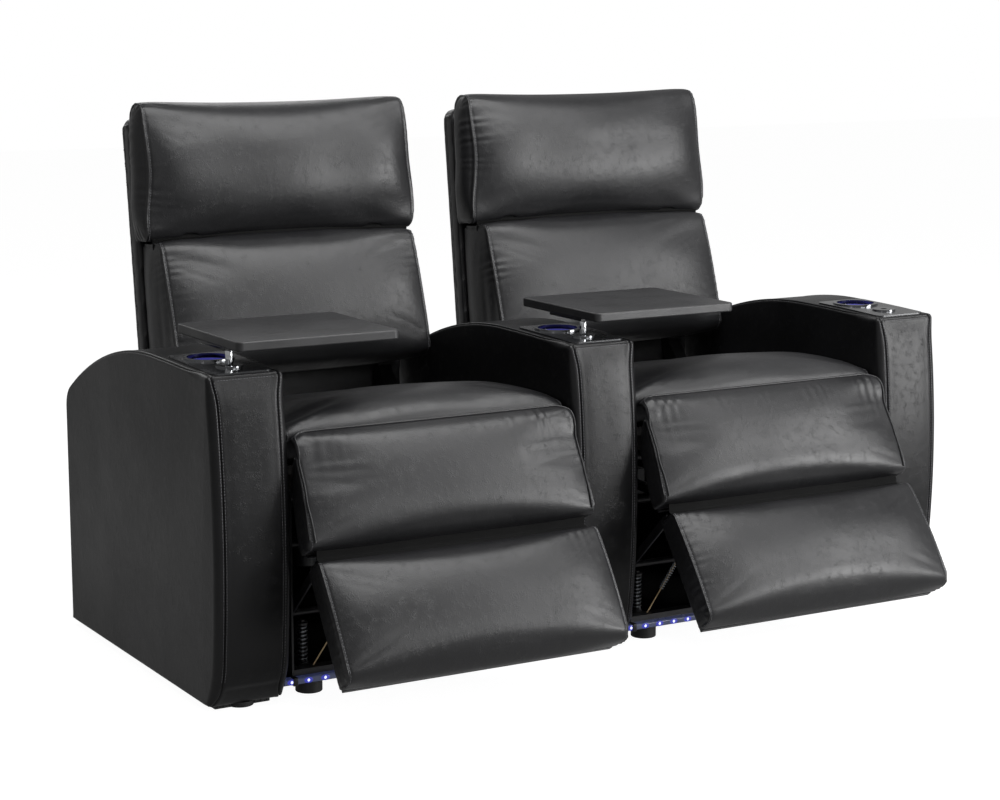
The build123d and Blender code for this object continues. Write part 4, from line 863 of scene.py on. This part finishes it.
def downPad(co, pivot, lift):
    # how far down the pad each point lies, from its hinge
    turn = math.radians(lift)
    return -(co[:, 1] - pivot.y) * math.sin(turn) - (co[:, 2] - pivot.z) * math.cos(turn)


def backSpot(up, out):
    # a point of the back's side view, from its pivot
    turn, (y, z) = math.radians(row["lean"]), row["backPivot"]
    return y + up * math.sin(turn) - out * math.cos(turn), z + up * math.cos(turn) + out * math.sin(turn)


def slideOnBack(co, up, out=0):
    turn = math.radians(row["lean"])
    co[:, 1] += up * math.sin(turn) - out * math.cos(turn)
    co[:, 2] += up * math.cos(turn) + out * math.sin(turn)


def addLip(piece, side):
    bar = added(bpy.ops.mesh.primitive_cube_add, size=2)
    editAll(bar, bpy.ops.mesh.subdivide, number_cuts=lip["cuts"])
    shaped = []
    for x, v, w in points(bar):
        far = abs(x) * lip["halfWidth"]
        along = lip["from"] + (1 - w) / 2 * (lip["to"] - lip["from"])
        front = float(np.interp(far, *lip["crown"])) * float(np.interp(along, *lip["share"]))
        front = max(front, float(np.interp(along, *lip["least"])))
        back = float(np.interp(along, *lip["back"]))
        out = back + (1 - v) / 2 * (front - back)
        # the two top corners are rounded off
        edge = max(0.0, (far - lip["halfWidth"]) / lip["cornerWidth"] + 1)
        along += lip["cornerDrop"] * edge**2 * max(0.0, w)
        y, z = padPoint(hinge[side], row["legOpen"][side], along, out)
        shaped.append((row["seats"][side] + x * lip["halfWidth"], y, z))
    place(bar, shaped)
    return joined(piece.name, [piece, bar])


def sideLoop(co, sign):
    # the outline of the solid's flat side, as an ordered closed loop
    edgeX = co[:, 0].max() if sign > 0 else co[:, 0].min()
    flat = co[np.abs(co[:, 0] - edgeX) < 0.0003]
    middle = (flat.max(axis=0) + flat.min(axis=0)) / 2
    turn = np.arctan2(flat[:, 2] - middle[2], flat[:, 1] - middle[1])
    return flat[np.argsort(turn)]


def nearPath(co, path, reach):
    # for points within reach of the path: how far off, how far along it, and its nearest point
    low, high = path.min(axis=0) - reach, path.max(axis=0) + reach
    near = np.nonzero(np.all((co > low) & (co < high), axis=1))[0]
    gap, along, target = np.full(len(co), 9.0), np.zeros(len(co)), co.copy()
    runs = runsOf(path)
    for start in range(0, len(near), 4000):
        part = near[start:start + 4000]
        away = np.linalg.norm(co[part][:, None, :] - path[None, :, :], axis=2)
        best = away.argmin(axis=1)
        gap[part] = away[np.arange(len(part)), best]
        along[part] = runs[best]
        target[part] = path[best]
    return gap, along, target


def softNoise(values, seed, scale):
    return np.array([noise.noise(Vector((v * scale, seed * 7.31, seed * 1.7))) for v in values])


# the overall shapes that the photograph shows fuller or flatter than their plain solids
forms = {
    "half": 0.292,
    "seat": {
        "rear": 0.048, "rearRun": (0.02, 0.34), "topRun": (0.46, 0.54),
        "nose": 0.017, "noseRun": (-0.03, 0.05), "noseTop": (0.52, 0.56),
    },
    "headrest": {
        "widen": 0.006, "flare": 0.010, "flareRun": (0.43, 0.58), "lower": 0.0155, "lowerFrom": 0.478,
        "corner": 0.009, "middle": 0.003, "half": 0.29, "topRun": (0.60, 0.69),
    },
    "lumbar": {"raise": 0.006, "raiseFrom": 0.372},
    "shell": {
        "widen": 0.009, "widenRun": (0.02, 0.14), "raise": 0.020, "raiseFrom": 0.30, "raiseOver": 0.355,
        "back": 0.013, "backRun": (0.08, 0.118),
    },
    "upperPad": {"half": 0.299, "flare": 0.009, "flareRun": (0.06, 0.20)},
    # how far the boxing at each end is puffed out, from where to where up the back
    "boxing": {"headrest": (0.020, 0.428, 0.70), "lumbar": (0.009, 0.14, 0.41)},
    "boxingRun": (0.270, 0.289),
}


def reform(kind, side, co):
    look = forms.get(kind, {})
    co = co.copy()
    x, y, z = co[:, 0] - row["seats"][side], co[:, 1], co[:, 2]
    turn, (pivotY, pivotZ) = math.radians(row["lean"]), row["backPivot"]
    up = (y - pivotY) * math.sin(turn) + (z - pivotZ) * math.cos(turn)
    out = -(y - pivotY) * math.cos(turn) + (z - pivotZ) * math.sin(turn)
    if kind == "seat":
        co[:, 2] -= look["rear"] * ease(y, *look["rearRun"]) * ease(z, *look["topRun"])
        co[:, 1] += look["nose"] * (1 - ease(y, *look["noseRun"])) * (1 - 0.5 * ease(z, *look["noseTop"]))
    if kind == "headrest":
        # wider at its foot, its top corners stand up, and the top edge between them sags a little
        co[:, 0] += x / forms["half"] * (look["widen"] + look["flare"] * (1 - ease(up, *look["flareRun"])))
        slideOnBack(co, -look["lower"] * np.clip((look["lowerFrom"] - up) / 0.05, 0, 1) ** 1.5)
        slideOnBack(co, ease(up, *look["topRun"]) * (look["corner"] * (x / look["half"]) ** 2 - look["middle"]))
    if kind == "shell":
        high = ease(up, *look["widenRun"])
        co[:, 0] += x / forms["half"] * look["widen"] * high
        lift = look["raise"] * np.clip((up - look["raiseFrom"]) / look["raiseOver"], 0, 1)
        slideOnBack(co, lift, -look["back"] * ease(-out, *look["backRun"]) * high)
    if kind == "lumbar":
        slideOnBack(co, look["raise"] * np.clip((up - look["raiseFrom"]) / 0.04, 0, 1) ** 1.5)
    if kind in forms["boxing"]:
        puff, low, high = forms["boxing"][kind]
        tall = np.clip(1 - ((up - (low + high) / 2) / (high - low) * 2) ** 4, 0, 1)
        deep = np.clip(1 - ((out + 0.020) / 0.042) ** 2, 0, 1)
        co[:, 0] += np.sign(x) * ease(np.abs(x), *forms["boxingRun"]) * puff * tall * deep
    if kind == "upperPad":
        along = downPad(co, hinge[side], row["legOpen"][side])
        co[:, 0] += x / look["half"] * look["flare"] * ease(along, *look["flareRun"])
    return co


def blownUp(piece, spec, held, seamGap):
    # a short cloth simulation under pressure, its result applied and kept within the pad's cap
    before = points(piece)
    group = piece.vertex_groups.new(name="held")
    strength = np.clip(1 - (seamGap - padBuild["seamGap"]) / padBuild["heldFade"], 0, 1)
    strength[held] = 1
    for index in np.nonzero(strength > 0.02)[0]:
        group.add([int(index)], float(strength[index]), "REPLACE")
    pickOnly(piece)
    bpy.ops.object.modifier_add(type="CLOTH")
    cloth = piece.modifiers[-1]
    for key, value in clothLook.items():
        setattr(cloth.settings, key, value)
    cloth.settings.uniform_pressure_force = spec["pressure"]
    cloth.settings.vertex_group_mass = "held"
    cloth.settings.effector_weights.gravity = 0
    cloth.collision_settings.use_collision = False
    for step in range(padBuild["steps"]):
        bpy.context.scene.frame_set(step + 1)
    applyAll(piece)
    bpy.context.scene.frame_set(1)
    move = points(piece) - before
    length = np.linalg.norm(move, axis=1)
    capped = spec["cap"] * np.tanh(length / spec["cap"])
    scale = np.where(length > 1e-9, capped / np.maximum(length, 1e-9), 0)
    scale[held] = 0
    place(piece, before + move * scale[:, None])
    piece.vertex_groups.clear()


def padBody(kind, side="left"):
    spec, out = pads[kind], pads[kind]["out"]
    piece = ownCopy(side + "_" + padNodes[kind], side + kind[0].upper() + kind[1:] + "Body")
    solid = points(piece)
    loops = {sign: sideLoop(solid, sign) for sign in (1, -1)}
    if kind == "upperPad":
        # the end seams stop short of the hinge, where the piping takes over
        for sign, loop in loops.items():
            along = downPad(loop, hinge[side], row["legOpen"][side])
            loops[sign] = loop[along > padBuild["mergeAway"]]
        piece = addLip(piece, side)
    modified(piece, "REMESH", mode="VOXEL", voxel_size=spec["voxel"])
    place(piece, reform(kind, side, points(piece)))
    co, way = points(piece), normals(piece)
    held = way @ out < padBuild["heldBelow"]
    free = np.where(held, 0.0, 1.0)
    # seams run round each side, except along what faces the board
    seams, seamGap = [], np.full(len(co), 9.0)
    reachOut = (solid @ out).min() + padBuild["seamAbove"]
    for loop in loops.values():
        seam = evenly(reform(kind, side, loop), padBuild["seamStep"], closed=True)
        hidden = np.nonzero(seam @ out <= reachOut)[0]
        if len(hidden):
            seam = np.roll(seam, -hidden[-1] - 1, axis=0)
            seam = seam[seam @ out > reachOut]
        seams.append(seam)
        seamGap = np.minimum(seamGap, nearPath(co, seam, padBuild["seamReach"])[0])
    if kind == "shell":
        place(piece, co - way * (padBuild["quickSink"] * free)[:, None])
    else:
        place(piece, co - way * (spec["shrink"] * free)[:, None])
        blownUp(piece, spec, held, seamGap)
    modified(piece, "SMOOTH", factor=padBuild["relax"], iterations=padBuild["relaxTimes"])
    modified(piece, "SUBSURF", levels=1, render_levels=1)
    return piece, seams


def blendBetween(piece):
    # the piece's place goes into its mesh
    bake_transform(piece)


def bendAtHinge(piece):
    # the pad's cover only has its place put into its mesh
    blendBetween(piece)


def hemAtBack(piece):
    # the headrest piece only has its place put into its mesh
    blendBetween(piece)


seamLook = {
    "reach": 0.03, "crispReach": 0.0055, "crispShare": 0.85, "groove": 0.0016, "grooveWidth": 0.0022,
    "stitchIn": 0.0062, "ridge": 0.0007, "ridgeAt": 0.0022, "ridgeWidth": 0.0022,
    "gatherWithin": 0.07, "gatherPitch": 0.021, "gatherRise": 0.006, "wrinkleScale": 6,
}
foldLook = {
    # pitch, depth, how far down the pad and how far in from its ends the folds fade
    "upperPad": {"pitch": 0.024, "depth": 0.0016, "top": -0.010, "reach": 0.030, "fromEnd": 0.10},
    "lowerPad": {"pitch": 0.019, "depth": 0.0010, "top": 0.017, "reach": 0.022, "fromEnd": 0.10},
}


def edgeFolds(kind, side, co, seed):
    # short folds that run down from a pad's top edge, deepest near its ends
    look, lift = foldLook[kind], row["legOpen"][side]
    if kind == "upperPad":
        along = downPad(co, hinge[side], lift)
    else:
        along = downPad(co, split[side], lift * (1 + row["foldShare"]))
    x = co[:, 0] - row["seats"][side]
    beat = np.sin(x * 2 * math.pi / look["pitch"] + softNoise(x, seed, 14.0) * 7)
    ends = np.exp(-(0.30 - np.abs(x)) / look["fromEnd"]) + 0.05
    ends *= np.clip(softNoise(x, seed + 3, 19.0) * 2.6 + 0.35, 0, 1.2)
    return beat * look["depth"] * ends * np.exp(-np.abs(along - look["top"]) / look["reach"])


def finishPad(kind, side, piece, seams, seed, out):
    # crisp seam edges, grooves, gathers and soft unevenness go into the mesh, then the thread is laid
    spec, look = pads[kind], seamLook
    co = points(piece)
    for seam in seams:
        gap, _, target = nearPath(co, seam, look["reach"])
        co += (target - co) * (look["crispShare"] * bump(gap, look["crispReach"]))[:, None]
    place(piece, co)
    way = normals(piece)
    push = np.zeros(len(co))
    middleX = (co[:, 0].max() + co[:, 0].min()) / 2
    lines = []
    for number, seam in enumerate(seams):
        sign = 1 if seam[:, 0].mean() > middleX else -1
        gap, along, _ = nearPath(co, seam, look["gatherWithin"])
        near = gap < look["gatherWithin"]
        away, along = gap[near], along[near]
        push[near] -= look["groove"] * bump(np.abs(away - look["stitchIn"]), look["grooveWidth"])
        push[near] += look["ridge"] * bump(away - look["ridgeAt"], look["ridgeWidth"])
        beat = np.sin(along * 2 * math.pi / look["gatherPitch"] + softNoise(along, seed + number, 30.0) * 6)
        share = np.clip(softNoise(along, seed + number + 5, 8.0) * 2.2 + 0.35, 0, 1.3)
        rise = 1 - bump(away, look["gatherRise"])
        amount = np.where(way[near][:, 0] * sign > 0.6, spec["flankGather"], spec["gather"])
        push[near] += amount * beat * share * rise * np.exp(-away / spec["gatherReach"])
        lines.append(seam - np.array([sign * look["stitchIn"], 0, 0]))
    outness = np.clip(way @ out, 0, 1)
    spread = np.array([noise.noise(Vector(p * look["wrinkleScale"] + seed)) for p in co])
    push += spread * spec["wrinkle"] * outness
    if kind in foldLook:
        push += edgeFolds(kind, side, co, seed) * outness
    place(piece, co + way * push[:, None])
    roundAll(piece)
    dress(piece, finishes["blackHide"])
    surface = surfaceOf(piece)
    thread = stitches(piece.name.replace("Body", "Stitches"), surface, lines)
    body = "base" if spec["body"] == "base" else side + "_" + spec["body"]
    if kind == "headrest":
        hemAtBack(piece)
        hemAtBack(thread)
    else:
        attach(thread, body)
        if kind == "upperPad":
            bendAtHinge(piece)
            pipePad(piece, side, surface)
        else:
            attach(piece, body)
    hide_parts(side + "_" + padNodes[kind])


def tubeAlong(name, path, radius, sides=8):
    # a round cord of mesh along the points
    path = np.asarray(path, dtype=float)
    ahead = np.gradient(path, axis=0)
    ahead /= np.linalg.norm(ahead, axis=1)[:, None]
    up = np.array([0.0, 0.0, 1.0]) if abs(ahead[0][2]) < 0.8 else np.array([0.0, 1.0, 0.0])
    spots = np.empty((sides + 1, len(path), 3))
    for i, (spot, step) in enumerate(zip(path, ahead)):
        up = up - step * up.dot(step)
        up /= np.linalg.norm(up)
        across = np.cross(step, up)
        for k in range(sides + 1):
            turn = 2 * math.pi * k / sides
            spots[k, i] = spot + radius * (math.cos(turn) * up + math.sin(turn) * across)
    piece = bentGrid(name, spots, closed=True)
    smooth(piece, 60)
    return piece


piping = {
    "radius": 0.0021, "sink": 0.0005, "cornerRound": 0.018, "along": -0.0225, "half": 0.2945, "foot": 0.186,
    "step": 0.004,
}


def pipePad(piece, side, surface):
    # piping up one side of the upper pad, across its top edge and down the other side
    lift, seatX = row["legOpen"][side], row["seats"][side]
    half, top, r = piping["half"], piping["along"], piping["cornerRound"]
    flat = [(-half, along) for along in np.linspace(piping["foot"], top + r, 40)]
    for turn in np.linspace(0, math.pi / 2, 10)[1:-1]:
        flat.append((-half + r - r * math.cos(turn), top + r - r * math.sin(turn)))
    corner = len(flat)
    flat += [(x, top) for x in np.linspace(-half + r, half - r, 130)]
    flat += [(-x, along) for x, along in flat[:corner][::-1]]
    path = []
    inward = Vector(-outDirection(lift))
    for x, along in flat:
        y, z = padPoint(hinge[side], lift, along, 0.07)
        hit, normal, _, _ = surface.ray_cast(Vector((seatX + x, y, z)), inward, 0.12)
        if hit is not None:
            path.append(np.array(hit + normal * (piping["radius"] - piping["sink"])))
    path = np.array(path)
    for _ in range(3):
        path[1:-1] = (path[:-2] + 2 * path[1:-1] + path[2:]) / 4
    cord = tubeAlong(piece.name.replace("Body", "Piping"), evenly(path, piping["step"]), piping["radius"])
    dress(cord, finishes["blackHide"])
    bendAtHinge(cord)


def aboutX(pivot, degrees):
    # positive turns the front up, as the leg rest opens
    spin = Matrix.Rotation(-math.radians(degrees), 4, "X")
    return Matrix.Translation(pivot) @ spin @ Matrix.Translation(-Vector(pivot))


# the right seat's pads are the left seat's, moved along the row and turned to the right leg's angle
slide = Matrix.Translation((row["pitch"], 0, 0))
openMore = row["legOpen"]["right"] - row["legOpen"]["left"]
moved = split["left"] + Vector((row["pitch"], 0, 0))
shifts = {
    "upperPad": aboutX(hinge["right"], openMore) @ slide,
    "lowerPad": Matrix.Translation(split["right"] - moved) @ aboutX(moved, openMore * (1 + row["foldShare"])) @ slide,
}
seeds = {"left": 3.0, "right": 41.0}
for number, kind in enumerate(pads):
    body, seams = padBody(kind)
    shift = shifts.get(kind, slide)
    twin = copyOf(body, body.name.replace("left", "right"), shift)
    turned = np.array(shift.to_3x3())
    twinSeams = [seam @ turned.T + np.array(shift.translation) for seam in seams]
    finishPad(kind, "left", body, seams, seeds["left"] + number, pads[kind]["out"])
    finishPad(kind, "right", twin, twinSeams, seeds["right"] + number, turned @ pads[kind]["out"])
    print("pad made:", kind)

# dark cloth that closes the three gaps where one pad turns against the next
cloths = {
    "thick": 0.0012,
    "hinge": {"half": 0.290, "radius": 0.0066, "turns": range(215, -10, -12), "tail": 0.030},
    "split": {
        "half": 0.286, "out": -0.022, "boardGap": 0.080, "slack": 0.007,
        "above": (0.185, 0.197, 0.212), "below": (0.020, 0.040), "bendFrom": 0.198,
    },
    "neck": {"half": 0.2935, "out": 0.001, "slack": 0.004, "heights": (0.396, 0.412, 0.420, 0.430, 0.446)},
    "columns": 41, "step": 0.003, "wave": 0.0006, "waveScale": 22,
}


def clothSheet(name, seatX, half, columns, profile, ripple):
    # a sheet across the seat along the side view's points, not quite flat
    spots = np.empty((columns, len(profile), 3))
    for column, x in zip(spots, np.linspace(-half, half, columns)):
        column[:] = profile + np.array([seatX + x, 0, 0])
        ripple(column, x)
    return bentGrid(name, spots)


def thicken(piece, thick):
    modified(piece, "SOLIDIFY", thickness=thick, offset=0)
    outward(piece)
    smooth(piece, 60)
    dress(piece, finishes["dustCloth"])


def clothStrip(name, seatX, half, profile):
    def ripple(column, x):
        column[:, 1] += cloths["wave"] * noise.noise(Vector((x * cloths["waveScale"], seatX, 0)))

    profile = evenly([(0.0, y, z) for y, z in profile], cloths["step"])
    piece = clothSheet(name, seatX, half, cloths["columns"], profile, ripple)
    thicken(piece, cloths["thick"])
    return piece


for side, seatX in row["seats"].items():
    pivot, below, lift = hinge[side], split[side], row["legOpen"][side]
    wrap = cloths["hinge"]
    profile = []
    for turn in wrap["turns"]:
        # 0 looks out of the pad's face, 90 up along the pad
        turn = math.radians(turn)
        profile.append(padPoint(pivot, lift, -wrap["radius"] * math.sin(turn), wrap["radius"] * math.cos(turn)))
    profile.append(padPoint(pivot, lift, wrap["tail"], wrap["radius"]))
    skirt = clothStrip(side + "HingeSkirt", seatX, wrap["half"], profile)
    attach(skirt, side + "_upper_leg")

    gap = cloths["split"]
    turned = lift * (1 + row["foldShare"])
    sinks = (0, 0.001, gap["slack"])
    profile = [padPoint(pivot, lift, along, gap["out"] - sink) for along, sink in zip(gap["above"], sinks)]
    profile += [padPoint(below, turned, along, gap["boardGap"] + gap["out"]) for along in gap["below"]]
    gusset = clothStrip(side + "PadGusset", seatX, gap["half"], profile)
    start = padPoint(pivot, lift, gap["bendFrom"], gap["out"])
    blendBetween(gusset)

    neck = cloths["neck"]
    profile = [backSpot(up, neck["out"] + neck["slack"] * (k == 2)) for k, up in enumerate(neck["heights"])]
    crease = clothStrip(side + "NeckGusset", seatX, neck["half"], profile)
    blendBetween(crease)
print("gap cloths made")

trayPost = {"radius": 0.0074, "from": 0.6395, "to": 0.6660, "rim": 0.0008, "bracketFrom": 0.6662}
for side in row["seats"]:
    post = ownCopy(side + "_tray_post", side + "TrayPost")
    pivot = Vector(joints[side + "_tray_swivel"]["pos_m"])
    low, high = trayPost["from"], trayPost["to"]
    sleeve = added(
        bpy.ops.mesh.primitive_cylinder_add, vertices=40, radius=trayPost["radius"], depth=high - low,
        location=(pivot.x, pivot.y, (low + high) / 2),
    )
    settle(sleeve)
    modified(sleeve, "BEVEL", width=trayPost["rim"], segments=2, limit_method="ANGLE")
    post = joined(side + "TrayPost", [post, sleeve])
    smooth(post, 40)
    dress(post, finishes["brightChrome"], finishes["blackSteel"])
    for face in post.data.polygons:
        face.material_index = int(face.center.z > trayPost["bracketFrom"])
    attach(post, side + "_tray")
    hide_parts(side + "_tray_post")
print("tray posts made")

# a black cloth closes the base from below and behind, cut out round the recline motor and its lever; it is a dust
# cover and also painted shade, a dark sheet where the shadow under the seat falls
underCover = {
    "half": 0.3005, "columns": 61, "step": 0.010, "thick": 0.0012, "sag": 0.0012,
    "profile": ((0.028, 0.0215), (0.032, 0.0185), (0.5418, 0.0185), (0.5478, 0.0245), (0.5478, 0.384)),
    "cutX": (0.068, 0.112), "cutFrom": 0.285,
}


def sagging(column, x):
    for spot in column:
        spot[2 if spot[2] < 0.022 else 1] -= underCover["sag"] * abs(noise.noise(Vector(spot * 14)))


for side, seatX in row["seats"].items():
    profile = evenly([(0, y, z) for y, z in underCover["profile"]], underCover["step"])
    # the cover is a dust cover and painted shade under the seat
    cover = clothSheet(side + "DustCoverAndShade", seatX, underCover["half"], underCover["columns"], profile, sagging)
    low, high = underCover["cutX"]
    editFaces(
        cover, lambda face: low < face.center.x - seatX < high and face.center.z > underCover["cutFrom"],
        bpy.ops.mesh.delete, type="FACE",
    )
    thicken(cover, underCover["thick"])
    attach(cover, "base")

# a brass tie rod with a return spring, from the front rail up to the leg motor
tieRod = {
    "foot": (-0.230, 0.040, 0.034), "head": (-0.125, 0.046, 0.172), "radius": 0.0017,
    "coil": 0.0046, "wire": 0.0011, "coilFrom": 0.42, "coilTo": 0.82, "turns": 13,
}
for side, seatX in row["seats"].items():
    foot, head = (np.array(tieRod[end]) + np.array([seatX, 0, 0]) for end in ("foot", "head"))
    rod = tubeAlong(side + "TieRod", evenly([foot, head], 0.004), tieRod["radius"])
    way = (head - foot) / np.linalg.norm(head - foot)
    first = np.cross(way, [0, 1, 0])
    first /= np.linalg.norm(first)
    second = np.cross(way, first)
    path = []
    for t in np.linspace(0, 1, tieRod["turns"] * 14):
        turn = t * tieRod["turns"] * 2 * math.pi
        middle = foot + (head - foot) * (tieRod["coilFrom"] + (tieRod["coilTo"] - tieRod["coilFrom"]) * t)
        path.append(middle + tieRod["coil"] * (math.cos(turn) * first + math.sin(turn) * second))
    coil = tubeAlong(side + "ReturnSpring", path, tieRod["wire"], sides=6)
    handOver(rod, "brassRod", "base")
    handOver(coil, "zincSteel", "base")
print("base covered")


def boxAt(spot, size):
    piece = added(bpy.ops.mesh.primitive_cube_add, size=1, location=spot)
    piece.scale = size
    settle(piece)
    return piece


# the lights of each strip, a blue halo round each, and a clip near each end of the strip
strip = {
    "pitch": 0.035, "halfRun": 0.280, "dot": (0.0033, 0.0012, 0.0033), "halo": (0.0095, 0.0006, 0.0058),
    "clipAt": 0.272, "clipWidth": 0.010, "clipWall": 0.0036, "clipRound": 0.0014,
}


def domeRow(name, seatX, front, segments, size):
    domes = []
    for k in range(int(2 * strip["halfRun"] / strip["pitch"]) + 1):
        spot = (seatX - strip["halfRun"] + k * strip["pitch"], *front)
        domes.append(added(
            bpy.ops.mesh.primitive_uv_sphere_add, segments=segments, ring_count=6, radius=1.0, scale=size,
            location=spot,
        ))
        settle(domes[-1])
    piece = joined(name, domes)
    smooth(piece, 60)
    return piece


low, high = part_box("light_strips")
front = (low[1], (low[2] + high[2]) / 2)
for side, seatX in row["seats"].items():
    dots = domeRow(side + "StripDots", seatX, front, 10, strip["dot"])
    handOver(dots, "dotLight", "base")
    halos = domeRow(side + "StripHalos", seatX, front, 16, strip["halo"])
    handOver(halos, "haloLight", "base")
    clips = []
    for x in (seatX - strip["clipAt"], seatX + strip["clipAt"]):
        size = (strip["clipWidth"], high[1] - low[1] + strip["clipWall"], high[2] - low[2] + strip["clipWall"])
        clip = boxAt((x, (low[1] + high[1]) / 2, front[1]), size)
        modified(clip, "BEVEL", width=strip["clipRound"], segments=3)
        clips.append(clip)
    clip = joined(side + "StripClips", clips)
    smooth(clip, 40)
    handOver(clip, "switchPlastic", "base")
print("strip lights made")

# a ribbed rubber block under each arm
footBlock = {
    "width": 0.112, "depth": 0.056, "height": 0.0096, "frontY": 0.010, "round": 0.0016,
    "ribs": 9, "ribRadius": 0.0024, "ribShort": 0.002, "ribBack": 0.0006,
}
for side, armX in row["arms"].items():
    wide, deep, tall = (footBlock[key] for key in ("width", "depth", "height"))
    block = boxAt((armX, footBlock["frontY"] + deep / 2, tall / 2), (wide, deep, tall))
    editAll(block, bpy.ops.mesh.bevel, offset=footBlock["round"], segments=2, affect="EDGES")
    ribs = [block]
    for k in range(footBlock["ribs"]):
        x = armX + (k - (footBlock["ribs"] - 1) / 2) * wide / footBlock["ribs"]
        ribs.append(added(
            bpy.ops.mesh.primitive_cylinder_add, vertices=12, radius=footBlock["ribRadius"],
            depth=tall - footBlock["ribShort"], location=(x, footBlock["frontY"] + footBlock["ribBack"], tall / 2),
        ))
        settle(ribs[-1])
    block = joined(side + "FootBlock", ribs)
    smooth(block, 40)
    handOver(block, "glideRubber", "base")
print("foot blocks made")

print("pieces done")
